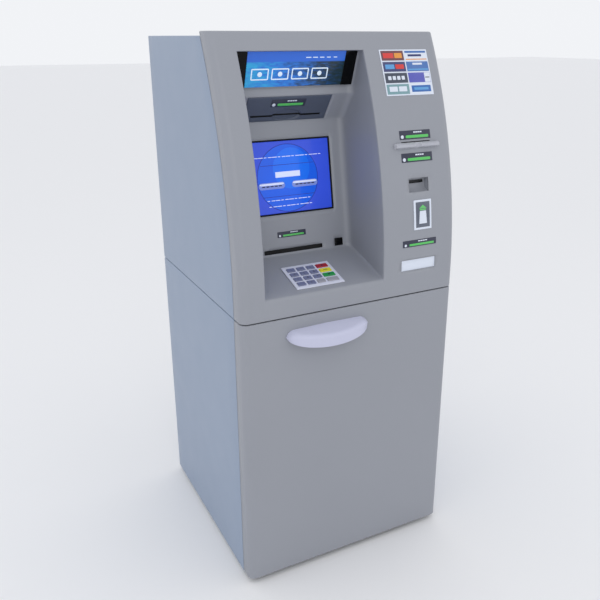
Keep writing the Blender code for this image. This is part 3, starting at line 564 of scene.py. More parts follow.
def sign_picture(name):
    """Backlit sea-like picture: sky blue at the left fading to deep green-blue at the lower right."""
    made, nodes, links, shader, place = blank(name, 0.22, coat=0.3, specular=0.3)
    middle = SIGN(0.0, 0.045, 0.0)
    shift = nodes.new("ShaderNodeMapping")
    shift.inputs["Location"].default_value = tuple(-middle)
    links.new(place, shift.inputs["Vector"])
    parts = nodes.new("ShaderNodeSeparateXYZ")
    links.new(shift.outputs[0], parts.inputs[0])
    across = math_node(nodes, "MULTIPLY_ADD", parts.outputs["X"], 3.4, 0.5)
    up = math_node(nodes, "MULTIPLY_ADD", parts.outputs["Z"], 11.0, 0.5)
    stretched = nodes.new("ShaderNodeMapping")
    stretched.inputs["Scale"].default_value = (60.0, 120.0, 200.0)
    links.new(shift.outputs[0], stretched.inputs["Vector"])
    ripple = noise_node(nodes, stretched.outputs[0], 1.0, 5.0)
    wobble = math_node(nodes, "MULTIPLY_ADD", ripple, 0.9, math_node(nodes, "SUBTRACT", across, 0.42))
    sea = nodes.new("ShaderNodeValToRGB")
    sea.color_ramp.elements[0].position = 0.05
    sea.color_ramp.elements[0].color = (*srgb(40, 160, 214), 1.0)
    sea.color_ramp.elements[1].position = 1.0
    sea.color_ramp.elements[1].color = (*srgb(20, 42, 48), 1.0)
    deep = sea.color_ramp.elements.new(0.42)
    deep.color = (*srgb(36, 112, 205), 1.0)
    dusk = sea.color_ramp.elements.new(0.78)
    dusk.color = (*srgb(22, 54, 86), 1.0)
    links.new(wobble, sea.inputs["Fac"])
    sky = nodes.new("ShaderNodeMapRange")
    sky.inputs["From Min"].default_value = 0.70
    sky.inputs["From Max"].default_value = 0.73
    links.new(up, sky.inputs["Value"])
    shown = mix_colour(nodes, sky.outputs["Result"], sea.outputs["Color"], srgb(44, 102, 206))
    links.new(shown, shader.inputs["Base Color"])
    links.new(shown, shader.inputs["Emission Color"])
    shader.inputs["Emission Strength"].default_value = 0.22
    return made


def lit_glass(name, colour, glow, vary=0.10):
    """Display colour behind glass: a slow drift of tone, its own light and a clear coat."""
    made, nodes, links, shader, place = blank(name, 0.25, coat=0.4, coat_roughness=0.06, specular=0.35)
    drift = noise_node(nodes, place, 9.0, 2.0)
    pattern = nodes.new("ShaderNodeTexWave")
    pattern.bands_direction = "Z"
    pattern.inputs["Scale"].default_value = 800.0
    links.new(place, pattern.inputs["Vector"])
    dark = tuple(c * (1 - vary) for c in colour)
    shade = mix_colour(nodes, drift, dark, tuple(min(1.0, c * (1 + vary)) for c in colour))
    lined = mix_colour(nodes, math_node(nodes, "MULTIPLY", pattern.outputs["Fac"], 0.12), shade, dark)
    links.new(lined, shader.inputs["Base Color"])
    links.new(lined, shader.inputs["Emission Color"])
    shader.inputs["Emission Strength"].default_value = glow
    return made


FRONT_PAINT = coated("front_paint", srgb(149, 152, 160), vary=0.035, wear=0.25)
SIDE_PAINT = coated("side_paint", srgb(143, 157, 178), vary=0.02, wear=0.25)
PULL_PLASTIC = coated("pull_plastic", srgb(196, 198, 220), roughness=0.36, grain=1400.0, depth=0.00003,
                      vary=0.03)
# Paler than the front paint the ledge belongs to: painted highlight for the light its top catches.
LEDGE_HIGHLIGHT_PAINT = coated("ledge_paint_highlighted", srgb(176, 178, 187), roughness=0.38, grain=1400.0, depth=0.00003,
                       vary=0.03)
SLATE_PLASTIC = coated("slate_plastic", srgb(78, 86, 103), roughness=0.45, grain=1500.0, depth=0.00005)
BLACK_PLASTIC = coated("black_plastic", srgb(7, 7, 9), roughness=0.5, grain=1600.0, depth=0.00004, wear=0.1,
                       specular=0.12)
BLACK_GLASS = coated("black_glass", srgb(5, 6, 8), roughness=0.14, grain=300.0, depth=0.00001, wear=0.0,
                     specular=0.15)
WHITE_PRINT = coated("white_print", srgb(219, 226, 239), roughness=0.38, grain=1800.0, depth=0.00002,
                     vary=0.02)
LABEL_SLATE = coated("label_slate", srgb(40, 44, 66), roughness=0.35, grain=1800.0, depth=0.00002)
# The green label ink glows faintly: painted light, since the labels hold no lamp.
LABEL_GREEN = coated("label_green", srgb(84, 190, 92), roughness=0.3, grain=1800.0, depth=0.00002, glow=0.05)
KEY_SLATE = coated("key_slate", srgb(112, 118, 150), roughness=0.42, grain=1500.0, depth=0.00004)
KEY_PALE = coated("key_pale", srgb(158, 158, 168), roughness=0.42, grain=1500.0, depth=0.00004)
KEY_RED = coated("key_red", srgb(166, 24, 42), roughness=0.4, grain=1500.0, depth=0.00004)
KEY_YELLOW = coated("key_yellow", srgb(222, 214, 40), roughness=0.4, grain=1500.0, depth=0.00004)
KEY_GREEN = coated("key_green", srgb(22, 148, 70), roughness=0.4, grain=1500.0, depth=0.00004)
KEY_INK = coated("key_ink", srgb(26, 30, 52), roughness=0.5, grain=1800.0, depth=0.00001)
KEY_PLATE = coated("key_plate", srgb(216, 219, 234), roughness=0.30, grain=1700.0, depth=0.00003, vary=0.03)
SCREEN_BLUE = lit_glass("screen_blue", srgb(46, 78, 214), 0.30)
SCREEN_AZURE = lit_glass("screen_azure", srgb(18, 92, 226), 0.30)
SCREEN_BRIGHT = lit_glass("screen_bright", srgb(20, 108, 238), 0.30)
SCREEN_DEEP = lit_glass("screen_deep", srgb(20, 50, 168), 0.25)
SCREEN_INK = lit_glass("screen_ink", srgb(26, 34, 92), 0.10)
SCREEN_WHITE = lit_glass("screen_white", srgb(214, 222, 250), 0.30, vary=0.03)
SCREEN_PILL = lit_glass("screen_pill", srgb(120, 140, 215), 0.25)
SIGN_PICTURE = sign_picture("sign_picture")
SIGN_WHITE = lit_glass("sign_white", srgb(210, 226, 242), 0.3, vary=0.03)
SAFE_ENAMEL = hammered("safe_enamel", srgb(96, 100, 108))
BRIGHT_STEEL = brushed("bright_steel", (0.62, 0.63, 0.65))
ZINC = spangled("zinc_sheet", (0.60, 0.61, 0.62))
CASING = coated("unit_casing", srgb(172, 175, 180), roughness=0.5, grain=700.0)
CASSETTE = coated("cassette_plastic", srgb(70, 76, 86), roughness=0.5, grain=600.0, depth=0.00012)
DARK_PLASTIC = coated("dark_plastic", srgb(34, 36, 40), roughness=0.5, grain=700.0, depth=0.0001)
RUBBER = coated("foot_rubber", srgb(30, 30, 32), roughness=0.75, grain=500.0, depth=0.0001, wear=0.1)
PAPER = wound_paper("wound_paper")
TILE_COLOURS = {
    "maroon": (96, 22, 40), "red": (214, 58, 54), "amber": (228, 150, 60), "navy": (34, 44, 104),
    "blue": (48, 104, 176), "sky": (92, 158, 214), "slate": (40, 52, 74), "violet": (64, 70, 176),
    "sage": (112, 152, 160), "grey": (120, 124, 130)}
TILE_INKS = {name: coated("tile_" + name, srgb(*ink), roughness=0.35, grain=1800.0, depth=0.00001)
             for name, ink in TILE_COLOURS.items()}

SLOT_FINISH = {
    "front_paint": FRONT_PAINT, "side_paint": SIDE_PAINT, "safe_steel": SAFE_ENAMEL, "foot_rubber": RUBBER,
    "bright_steel": BRIGHT_STEEL, "zinc_sheet": ZINC, "unit_casing": CASING, "cassette_plastic": CASSETTE,
    "dark_plastic": DARK_PLASTIC, "pull_plastic": PULL_PLASTIC, "sign_surface": SIGN_PICTURE,
    "document_plastic": SLATE_PLASTIC, "screen_surface": SCREEN_BLUE, "key_plate": KEY_PLATE,
    "white_plastic": WHITE_PRINT, "paper": PAPER, "key_red": KEY_RED, "key_yellow": KEY_YELLOW,
    "key_green": KEY_GREEN, "key_blank": KEY_PALE, "key_slate": KEY_SLATE}


def dress_solids():
    """Gives every carried-over solid the finish of its material slot."""
    slots = {entry["node"]: entry["material_slot"] for entry in frame["record"]["subparts"]}
    for node, solid in frame["nodes"].items():
        solid.data.materials.clear()
        solid.data.materials.append(SLOT_FINISH[slots[node]])


# ---------------------------------------------------------------- the curved front and its recess
def plan_columns(half, corner, band, middle, side):
    """Band and corner of the plan section from the rear edge forward: x, depth, inward normal."""
    angle = np.linspace(0.0, math.pi / 2, 9)
    x = np.concatenate([[half, half], half - corner * (1 - np.cos(angle))])
    depth = np.concatenate([[band, middle], corner * (1 - np.sin(angle))])
    normal_x = -np.concatenate([[1.0, 1.0], np.cos(angle)])
    normal_d = np.concatenate([[0.0, 0.0], np.sin(angle)])
    return np.stack([side * x, depth, side * normal_x, normal_d], axis=-1)


def jamb_columns(edge, side, lip, fillet):
    """Across a jamb, from the front face in: x and the shares of depth, lip and fillet radius.

    The lip is a quarter round, the wall runs straight in, and a second quarter round meets the
    back: depth = m D + a lip + b fillet.
    """
    angle = np.linspace(0.0, math.pi / 2, 7)
    wall = np.linspace(0.0, 1.0, 8)[1:-1]
    x = np.concatenate([edge - side * lip * (1 - np.sin(angle)), np.full(len(wall), edge),
                        edge + side * fillet * (1 - np.cos(angle))])
    m = np.concatenate([np.zeros(7), wall, np.ones(7)])
    a = np.concatenate([1 - np.cos(angle), 1 - wall, np.zeros(7)])
    b = np.concatenate([np.zeros(7), -wall, -1 + np.sin(angle)])
    return np.stack([x, m, a, b], axis=-1)


def filled(values, step):
    """Sorted unique values with even points put between neighbours further apart than step."""
    values = np.unique(np.round(np.asarray(values, float), 6))
    gaps = np.diff(values)
    counts = np.maximum(1, np.ceil(gaps / step)).astype(int)
    parts = [np.linspace(a, b, n, endpoint=False) for a, b, n in zip(values[:-1], values[1:], counts)]
    return np.concatenate(parts + [values[-1:]])


def recess_profile():
    """Side outline of the recess as depth over height: lip, shelf, back, document panel, sign seat."""
    above = 1.43
    corners = [(0.0, 0.815), (0.0, SHELF_LIP_Z), BACK_FOOT, BACK_TOP, DOC_TOP, (0.1905, 1.3285),
               (0.1605, 1.4150), (float(front_depth(RECESS_TOP)), RECESS_TOP),
               (float(front_depth(above)), above)]
    return rounded_path(corners, (0.010, 0.012, 0.012, 0.006, 0.002, 0.001, 0.003))


def section_table():
    """All columns from the left band's rear edge to the right one's, as one table.

    Columns: x, plan depth, inward normal x and depth, and the shares m, a, b of the recess.
    """
    def table(x, depth=0.0, normal_x=0.0, normal_d=1.0, m=0.0, a=0.0, b=0.0):
        parts = np.broadcast_arrays(x, depth, normal_x, normal_d, m, a, b)
        return np.stack([np.asarray(p, float) for p in parts], axis=-1)

    left = plan_columns(HALF_WIDTH, CORNER, BAND, BAND_NOTCH, -1)
    right = plan_columns(HALF_WIDTH, CORNER, BAND, BAND_NOTCH, 1)[::-1]
    jamb_l = jamb_columns(RECESS_LEFT, 1, JAMB_LIP, JAMB_FILLET)
    jamb_r = jamb_columns(RECESS_RIGHT, -1, JAMB_LIP, JAMB_FILLET)[::-1]
    inner = filled([jamb_l[-1, 0], jamb_r[0, 0], *SCREEN_X, *SLOT_X, *PEEP_X, *DOCUMENT_X], 0.02)[1:-1]
    west = filled([-HALF_WIDTH + CORNER, jamb_l[0, 0]], 0.02)[1:-1]
    east = filled([jamb_r[-1, 0], HALF_WIDTH - CORNER, *POCKET_X, *RECEIPT_X, *WINDOW_X], 0.02)[1:-1]
    return np.concatenate([
        table(left[:, 0], left[:, 1], left[:, 2], left[:, 3]), table(west),
        table(jamb_l[:, 0], m=jamb_l[:, 1], a=jamb_l[:, 2], b=jamb_l[:, 3]), table(inner, m=1.0),
        table(jamb_r[:, 0], m=jamb_r[:, 1], a=jamb_r[:, 2], b=jamb_r[:, 3]), table(east),
        table(right[:, 0], right[:, 1], right[:, 2], right[:, 3])])


def edge_rows(z, radius, turn_in, upward):
    """Rows that round an upper or lower edge and turn inwards: height and inset."""
    angle = np.linspace(0.0, math.pi / 2, 5)
    heights = z - upward * radius * (1 - np.sin(angle))
    insets = radius * (1 - np.cos(angle))
    return np.append(heights, z), np.append(insets, turn_in)


def in_span(values, span):
    """Mask of the values that lie inside a span."""
    return (values > span[0]) & (values < span[1])


def mids(values):
    """Middles between neighbouring values: (before + after) / 2."""
    return (values[:-1] + values[1:]) / 2


def build_operator_front():
    """The one-piece front: plan section shifted back by the arc at each height, plus the recess.

    depth = arc(z) + plan depth + m D(z) + a lip + b fillet, where D is the recess's depth at z.
    """
    path = recess_profile()
    columns = section_table()
    screen_z = [SCREEN_Z + side * SCREEN_HALF_V * math.cos(BACK_LEAN) for side in (-1, 1)]
    document_z = [float(DOC(0.0, v, 0.0)[2]) for v in DOCUMENT_V]
    breaks = [*screen_z, *SLOT_Z, *PEEP_Z, *POCKET_Z, *RECEIPT_Z, *WINDOW_Z, *document_z]
    low_z, low_in = edge_rows(PANEL_LOW, 0.002, 0.010, -1)
    high_z, high_in = edge_rows(PANEL_HIGH, 0.004, 0.004, 1)
    middle = filled([low_z[0], high_z[0], ARC_START, *path[1:-1, 1], *breaks], 0.016)
    rear_steps = np.linspace(0.0, 1.0, 5)[1:]
    z = np.concatenate([low_z[::-1], middle[1:-1], high_z[:-1], np.full(len(rear_steps), PANEL_HIGH),
                        [PANEL_HIGH - 0.010]])
    inset = np.concatenate([low_in[::-1], np.zeros(len(middle) - 2), high_in[:-1],
                            np.full(len(rear_steps) + 1, 0.004)])
    back = np.concatenate([np.zeros(len(z) - len(rear_steps) - 1), rear_steps, [1.0]])

    x, plan, normal_x, normal_d, m, a, b = columns.T
    arc = front_depth(z)
    recess = np.maximum(0.0, np.interp(z, path[:, 1], path[:, 0], left=0.0, right=0.0) - arc)
    recess[(z < path[0, 1]) | (z > RECESS_TOP)] = 0.0
    lip = np.minimum(JAMB_LIP, recess / 2)
    fillet = np.minimum(JAMB_FILLET, recess / 2)
    depth = (arc[:, None] + plan + recess[:, None] * m + lip[:, None] * a + fillet[:, None] * b
             + inset[:, None] * normal_d)
    across = x + inset[:, None] * normal_x
    depth = depth + (arc[:, None] + BAND - depth) * back[:, None]
    points = np.stack([across, FRONT + depth, np.broadcast_to(z[:, None], depth.shape)], axis=-1)

    mid_x = mids(x)
    mid_z = mids(z)[:, None]
    deep = (mids(m) > 0.99)[None, :]
    shallow = (mids(m) < 0.01)[None, :]
    cut = np.zeros((len(z) - 1, len(x) - 1), bool)
    for where, hole_x, hole_z in (
            (deep, SCREEN_X, screen_z), (deep, SLOT_X, SLOT_Z), (deep, PEEP_X, PEEP_Z),
            (deep, DOCUMENT_X, document_z), (shallow, POCKET_X, POCKET_Z), (shallow, RECEIPT_X, RECEIPT_Z),
            (shallow, WINDOW_X, WINDOW_Z)):
        cut |= where & in_span(mid_x, hole_x) & in_span(mid_z, hole_z)
    skin = (points.reshape(-1, 3), grid_quads(*depth.shape, keep=~cut), FRONT_PAINT)
    made = piece("operator_front", [skin], "operator_panel", ("fascia_shell", "recess_liner"), "front_paint",
                 closed=False, weld=1e-5)
    thicken(made, SKIN)


# ---------------------------------------------------------------- side casings and rear
def casing_loop(low, high, radius=0.0025):
    """Closed outline of a casing seen from the front, its corners quarter rounds, anticlockwise."""
    middle, half_z = (low + high) / 2, (high - low) / 2
    x = filled([-HALF_WIDTH + radius, HALF_WIDTH - radius, *CHUTE_X], 0.05)
    z = filled([low + radius, high - radius], 0.03)
    angle = np.linspace(0.0, math.pi / 2, 6)
    parts = [np.stack([x, 0 * x + low], -1)]
    for k, (side, up) in enumerate(((1, -1), (1, 1), (-1, 1), (-1, -1))):
        turn = angle + (k - 1) * math.pi / 2
        corner = np.array([side * (HALF_WIDTH - radius), middle + up * (half_z - radius)])
        parts.append((corner + radius * np.stack([np.cos(turn), np.sin(turn)], -1))[1:-1])
        run = (np.stack([0 * z + HALF_WIDTH, z], -1), np.stack([x[::-1], 0 * x + high], -1),
               np.stack([0 * z - HALF_WIDTH, z[::-1]], -1), np.zeros((0, 2)))[k]
        parts.append(run)
    return np.concatenate(parts)


def build_casing(name, low, high, chute_z, closed_back):
    """Folded sheet casing: the outline carried from its front edge, which follows the arc, to the
    back, with a narrow hem in front and a flange, or a whole back wall, behind."""
    loop = casing_loop(low, high)
    middle, half_z = (low + high) / 2, (high - low) / 2
    edge = front_depth(loop[:, 1]) + BAND + SEAM
    run = DEPTH - BAND - SEAM
    shares = filled([0.0, 1.0, *((d - BAND - SEAM) / run for d in CHUTE_D)], 0.12)[1:-1]
    hem = [(0.0035, 0.0, 0.0), (0.0015, 0.0, 0.0), (0.0004, 0.0, 0.0004), (0.0, 0.0, 0.0015)]
    flange = [(0.0, 1.0, -0.0015), (0.0004, 1.0, -0.0004), (0.0015, 1.0, 0.0), (0.0120, 1.0, 0.0)]
    rows = np.array(hem + [(0.0, t, 0.0) for t in shares] + flange)
    inset, share, extra = (c[:, None] for c in rows.T)
    x = loop[:, 0] * (1 - inset / HALF_WIDTH)
    z = middle + (loop[:, 1] - middle) * (1 - inset / half_z)
    depth = edge + (DEPTH - edge) * share + extra
    points = np.stack([x, FRONT + depth, z], axis=-1)
    points = np.concatenate([points, points[:, :1]], axis=1)
    mid_x = (points[:-1, :-1, 0] + points[:-1, 1:, 0]) / 2
    mid_z = (points[:-1, :-1, 2] + points[:-1, 1:, 2]) / 2
    mid_d = mids(points[:, :-1, 1]) - FRONT
    cut = in_span(mid_x, CHUTE_X) & in_span(mid_d, CHUTE_D) & (np.abs(mid_z - chute_z) < 0.001)
    faces = grid_quads(*points.shape[:2], keep=~cut)
    points = points.reshape(-1, 3)
    if closed_back:
        extra, walls = pierced_wall(points, len(points) - len(loop) - 1, len(loop))
        points = np.concatenate([points, extra])
        faces += walls
    faces = [list(face)[::-1] for face in faces]
    made = piece(name + "_shell", [(points, faces, SIDE_PAINT)], "cabinet", (name,), "side_paint",
                 closed=False, weld=1e-5)
    thicken(made, SHEET)


def pierced_wall(points, first, count):
    """The back wall in two faces, above and below a round-cornered cable hole, joined at its sides."""
    rim = points[first:first + count]
    half_x, half_z = (CABLE_HOLE_X[1] - CABLE_HOLE_X[0]) / 2, (CABLE_HOLE_Z[1] - CABLE_HOLE_Z[0]) / 2
    centre = np.array([sum(CABLE_HOLE_X) / 2, sum(CABLE_HOLE_Z) / 2])
    outline = round_rectangle(half_x, half_z, 0.0040)
    outline = outline[np.argsort(-np.arctan2(outline[:, 1], outline[:, 0]))]
    upper, lower = outline[outline[:, 1] > 0], outline[outline[:, 1] < 0]
    around = np.concatenate([[(-half_x, 0.0)], upper, [(half_x, 0.0)], lower]) + centre
    extra = np.stack([around[:, 0], 0 * around[:, 0] + rim[0, 1], around[:, 1]], axis=-1)
    reach = np.abs(rim[:, 2] - centre[1])
    left = int(np.argmin(reach + (rim[:, 0] > 0)))
    right = int(np.argmin(reach + (rim[:, 0] < 0)))
    hole = len(points) + np.arange(len(around))
    turn = len(upper) + 1
    above = [first + k for k in range(right, left + 1)] + hole[:turn + 1].tolist()
    below = [first + k % count for k in range(left, right + count + 1)]
    below += hole[turn:].tolist() + [int(hole[0])]
    return extra, [above, below]


def build_cable_grommet():
    """Rubber edging round the cable hole."""
    half_x, half_z = (CABLE_HOLE_X[1] - CABLE_HOLE_X[0]) / 2, (CABLE_HOLE_Z[1] - CABLE_HOLE_Z[0]) / 2
    middle = (sum(CABLE_HOLE_X) / 2, FRONT + DEPTH, sum(CABLE_HOLE_Z) / 2)

    def place(u, v, w):
        return np.stack(np.broadcast_arrays(middle[0] - u, middle[1] + w, middle[2] + v), axis=-1)

    section = [(0.0016, -0.0030), (0.0016, -0.0021), (0.0001, -0.0021), (0.0001, -0.0001),
               (-0.0014, -0.0001), (-0.0022, -0.0012), (-0.0022, -0.0030)]
    piece("cable_grommet", [(*frame_ring(place, half_x, half_z, 0.0040, section), RUBBER)], "cabinet",
          slot="foot_rubber")


def build_rear_fixings():
    """Pan-head screws round the rear panel and a key lock near its top."""
    face = FRONT + DEPTH - 0.0035
    head = [(0.0, 0.0), (0.0, 0.0045), (0.0006, 0.0044), (0.0014, 0.0038), (0.0019, 0.0026),
            (0.0020, 0.0018), (0.0008, 0.0016), (0.0008, 0.0)]
    shapes = [(*lathe((x, face, z), "Y", head, 24), BRIGHT_STEEL)
              for x in (-0.295, 0.295) for z in (0.815, 1.020, 1.225, 1.430)]
    lock = [(0.0, 0.0), (0.0, 0.0110), (0.0012, 0.0110), (0.0020, 0.0102), (0.0020, 0.0070),
            (0.0030, 0.0066), (0.0032, 0.0058), (0.0032, 0.0)]
    shapes.append((*lathe((0.0, face, 1.425), "Y", lock, 40), BRIGHT_STEEL))
    piece("rear_fixings", shapes, "cabinet", slot="bright_steel")


# ---------------------------------------------------------------- lower door
def build_door_skin():
    """Flat door with the same plan section, its upper and lower edges rounded and turned in."""
    left = plan_columns(HALF_WIDTH, CORNER, BAND, KNUCKLE_NOTCH, -1)
    right = plan_columns(HALF_WIDTH, CORNER, BAND, KNUCKLE_NOTCH, 1)[::-1]
    flat = filled([-HALF_WIDTH + CORNER, HALF_WIDTH - CORNER], 0.03)[1:-1]
    face = np.stack([flat, 0 * flat, 0 * flat, 0 * flat + 1], axis=-1)
    x, plan, normal_x, normal_d = np.concatenate([left, face, right]).T
    low_z, low_in = edge_rows(DOOR_LOW, 0.003, 0.012, -1)
    high_z, high_in = edge_rows(DOOR_HIGH, 0.003, 0.012, 1)
    notches = [(base - 0.004, base + 0.112) for base in HINGE_BASES]
    middle = filled([low_z[0], high_z[0], *np.ravel(notches)], 0.03)[1:-1]
    z = np.concatenate([low_z[::-1], middle, high_z])
    inset = np.concatenate([low_in[::-1], 0 * middle, high_in])
    across = x + inset[:, None] * normal_x
    depth = plan + inset[:, None] * normal_d
    points = np.stack([across, FRONT + depth, np.broadcast_to(z[:, None], depth.shape)], axis=-1)
    mid_z = mids(z)[:, None]
    rear_band = (mids(x) > HALF_WIDTH - 1e-4) & (mids(plan) > KNUCKLE_NOTCH)
    cut = np.zeros((len(z) - 1, len(x) - 1), bool)
    for notch in notches:
        cut |= in_span(mid_z, notch) & rear_band[None, :]
    skin = (points.reshape(-1, 3), grid_quads(*depth.shape, keep=~cut), FRONT_PAINT)
    made = piece("door_skin", [skin], "cladding_door", ("lower_door",), "front_paint", closed=False)
    thicken(made, SKIN)


def build_door_knuckles():
    """Upper knuckle of each door hinge: a turned barrel with a bore, and its strap to the skin."""
    shapes = []
    for base in HINGE_BASES:
        low = base + 0.072
        barrel = [(low, 0.0041), (low, 0.0056), (low + 0.0006, 0.0062), (low + 0.0334, 0.0062),
                  (low + 0.034, 0.0056), (low + 0.034, 0.0041), (low, 0.0041)]
        points, faces = lathe((DOOR_AXIS[0], FRONT + DOOR_AXIS[1], 0.0), "Z", barrel, 32)
        shapes.append((points, faces[:-2], BRIGHT_STEEL))
        strap = turned_aside(0.3162, 0.0285, low + 0.017)
        shapes.append(laid(strap, round_rectangle(0.0125, 0.0150, 0.002), -0.0012, 0.0012, BRIGHT_STEEL))
    piece("door_knuckles", shapes, "cladding_door", slot="bright_steel")


def build_door_pull():
    """Half-moon pull: a half ellipse in plan; the closed section (share of reach, share of drop) falls
    from the door along the sloping top, rounds over the rim and comes back inside. The top edge dips
    as the 12th power of the distance from the middle, so that both of its ends are round."""
    turn = np.linspace(0.0, math.pi, 81)
    half, reach, top, slope, dip, wall = 0.1195, 0.0497, 0.7539, 0.0145, 0.0150, 0.0045
    rim = rounded_path([(0.0, 0.0), (1.0, 0.0), (0.985, 1.0), (0.925, 1.0), (0.915, 0.17), (0.0, 0.12)],
                       (0.17, 0.02, 0.02, 0.08), 10)
    share = rim[:, 0][:, None]
    drop = rim[:, 1][:, None]
    bulge = np.sin(turn)
    aside = share * np.cos(turn)
    crest = top - dip * np.abs(aside) ** 12 - slope * (share * bulge) ** 1.3
    bottom = top - 0.0215 - 0.0245 * bulge ** 0.9
    fall = np.maximum(crest - bottom, wall + 0.001)
    level = np.where(drop < 0.12, drop / 0.12 * wall, wall + (fall - wall) * (drop - 0.12) / 0.88)
    depth = -0.0003 - (reach - 0.0003) * share * bulge
    points = np.stack([MIDDLE_X + 0.0050 + half * aside, FRONT + depth, crest - level], axis=-1)
    quads = grid_quads(*level.shape)
    first = np.arange(level.shape[0]) * level.shape[1]
    ends = [first.tolist(), (first + level.shape[1] - 1)[::-1].tolist()]
    piece("door_pull", [(points.reshape(-1, 3), quads + ends, PULL_PLASTIC)], "cladding_door",
          ("door_handle",), "pull_plastic", angle=50)


# ---------------------------------------------------------------- labels and pictures
def label_shapes(place, width, height):
    """Slate label with a green bar, a pale dot at its left and a row of four short dashes above."""
    bar_v = -0.20 * height
    bar = round_rectangle(0.37 * width, 0.16 * height, 0.12 * height)
    dash = box_outline(0.030 * width, 0.075 * height)
    shapes = [laid(place, round_rectangle(width / 2, height / 2, 0.0006), 0.0001, 0.0009, LABEL_SLATE),
              laid(place, bar, 0.0008, 0.0013, LABEL_GREEN, at=(0.06 * width, bar_v)),
              laid(place, circle(0.20 * height, 20), 0.0008, 0.0014, WHITE_PRINT, at=(-0.42 * width, bar_v))]
    for k in range(4):
        spot = ((0.07 * k - 0.02) * width, 0.28 * height)
        shapes.append(laid(place, dash, 0.0008, 0.0011, WHITE_PRINT, 0.0001, spot))
    return shapes


def build_labels():
    """Five labels: place, width and height of each."""
    wall = leaning(MIDDLE_X - 0.003, back_depth(0.9465), 0.9465, BACK_LEAN)
    middle = DOC(-0.003, 0.0640, 0.0010)
    document = leaning(middle[0], middle[1] - FRONT, middle[2], DOC_LEAN)
    for name, place, width, height in (
            ("cash_label", wall, 0.0850, 0.0155), ("statement_label", document, 0.0980, 0.0240),
            ("receipt_label", on_front(0.2035, 1.2090), 0.0970, 0.0228),
            ("card_label", on_front(0.2030, 1.1525), 0.0970, 0.0232),
            ("reader_label", on_front(0.2010, 0.9295), 0.1080, 0.0180)):
        piece(name, label_shapes(place, width, height), "operator_panel", slot="white_plastic")


def build_sign():
    """Black carrier with the lit picture between its ends and four plain note outlines on it."""
    half = (RECESS_RIGHT - RECESS_LEFT) / 2 - 0.0006
    height = math.dist(SIGN_HEAD, SIGN_FOOT)
    span_v = (0.0020, height - 0.0025)
    end = 0.035
    low, high = -0.0005, -0.0001
    shapes = [plated(SIGN, (-half, half), span_v, -0.0058, -0.0016, BLACK_PLASTIC, cells=(1, 1))]
    for side in (-1, 1):
        span_u = sorted((side * half, side * (half - end)))
        shapes.append(plated(SIGN, span_u, span_v, -0.0020, -0.0001, BLACK_GLASS, cells=(1, 1)))
    shapes.append(plated(SIGN, (-half + end + 0.0004, half - end - 0.0004), (0.0024, height - 0.0029),
                              -0.0020, -0.0004, SIGN_PICTURE, cells=(8, 4)))
    note = round_rectangle(0.0235, 0.0145, 0.0030)
    for u in (-0.098, -0.043, 0.012, 0.067):
        shapes.append((*outline_ring(SIGN, note, 0.0030, low, high, at=(u, 0.0350)), SIGN_WHITE))
        shapes.append(laid(SIGN, circle(0.0062, 24), low, high, SIGN_WHITE, 0.0001, (u, 0.0350)))
    for k in range(5):
        dash = round_rectangle(0.0075 - 0.0006 * k, 0.0011, 0.0010)
        shapes.append(laid(SIGN, dash, low, high, SIGN_WHITE, 0.0001, (0.030 + 0.019 * k, 0.0760)))
    piece("lit_sign", shapes, "operator_panel", ("header_panel",), "sign_surface")


def outline_ring(place, outline, width, low, high, at=(0.0, 0.0)):
    """A flat band of even width just inside a convex outline, from w = low to high."""
    outer = outline + np.asarray(at)
    inner = shrunk(outline, width) + np.asarray(at)
    rings = [(outer, low), (outer, high), (inner, high), (inner, low), (outer, low)]
    return ring_stack(np.stack([place(line[:, 0], line[:, 1], w) for line, w in rings]), False, False)


def build_network_sign():
    """White plate with eight plain tiles in two columns, each with its own bars and blocks.

    A figure is (ink, middle u, middle v, half width, half height) in shares of its tile's halves.
    """
    place = on_front(0.207, 1.362)
    half_u, half_v = 0.0345, 0.0130
    white = WHITE_PRINT
    ink = TILE_INKS
    blocks = [(white, -0.6 + 0.4 * k, 0.0, 0.14, 0.38) for k in range(4)]
    tiles = [
        (ink["maroon"], [(ink["red"], -0.38, 0.0, 0.46, 0.52), (ink["amber"], 0.50, 0.0, 0.34, 0.52)]),
        (white, [(ink["blue"], 0.0, 0.72, 0.96, 0.20), (ink["amber"], 0.0, -0.80, 0.96, 0.10),
                 (ink["navy"], -0.10, 0.0, 0.62, 0.22)]),
        (ink["navy"], [(ink["sky"], -0.42, 0.0, 0.40, 0.46), (ink["red"], 0.46, 0.0, 0.38, 0.46)]),
        (ink["blue"], [(white, 0.0, 0.52, 0.44, 0.20), (ink["sky"], 0.0, -0.62, 0.92, 0.14)]),
        (ink["slate"], blocks),
        (ink["violet"], [(white, 0.72, 0.0, 0.26, 0.96), (ink["grey"], 0.72, 0.0, 0.20, 0.12)]),
        (ink["sage"], [(white, -0.42, 0.04, 0.36, 0.50), (white, 0.42, 0.04, 0.36, 0.50)]),
        (white, [(ink["blue"], 0.0, 0.0, 0.88, 0.66), (ink["sky"], 0.0, 0.0, 0.66, 0.26)])]
    shapes = [plated(place, (-0.0740, 0.0740), (-0.0605, 0.0605), 0.0003, 0.0016, white, cells=(2, 10))]
    for k, (ground, figures) in enumerate(tiles):
        u, v = -0.0362 + 0.0724 * (k % 2), 0.0441 - 0.0294 * (k // 2)
        shapes.append(plated(place, (u - half_u, u + half_u), (v - half_v, v + half_v), 0.0014, 0.0019,
                                  ground, 0.0002, (1, 3)))
        for colour, at_u, at_v, wide, tall in figures:
            outline = round_rectangle(half_u * wide, half_v * tall, 0.0008, 3)
            shapes.append(laid(place, outline, 0.0018, 0.0021, colour, 0.0001,
                               (u + half_u * at_u, v + half_v * at_v)))
    piece("card_marks_plate", shapes, "operator_panel", ("network_sign",), "white_plastic")


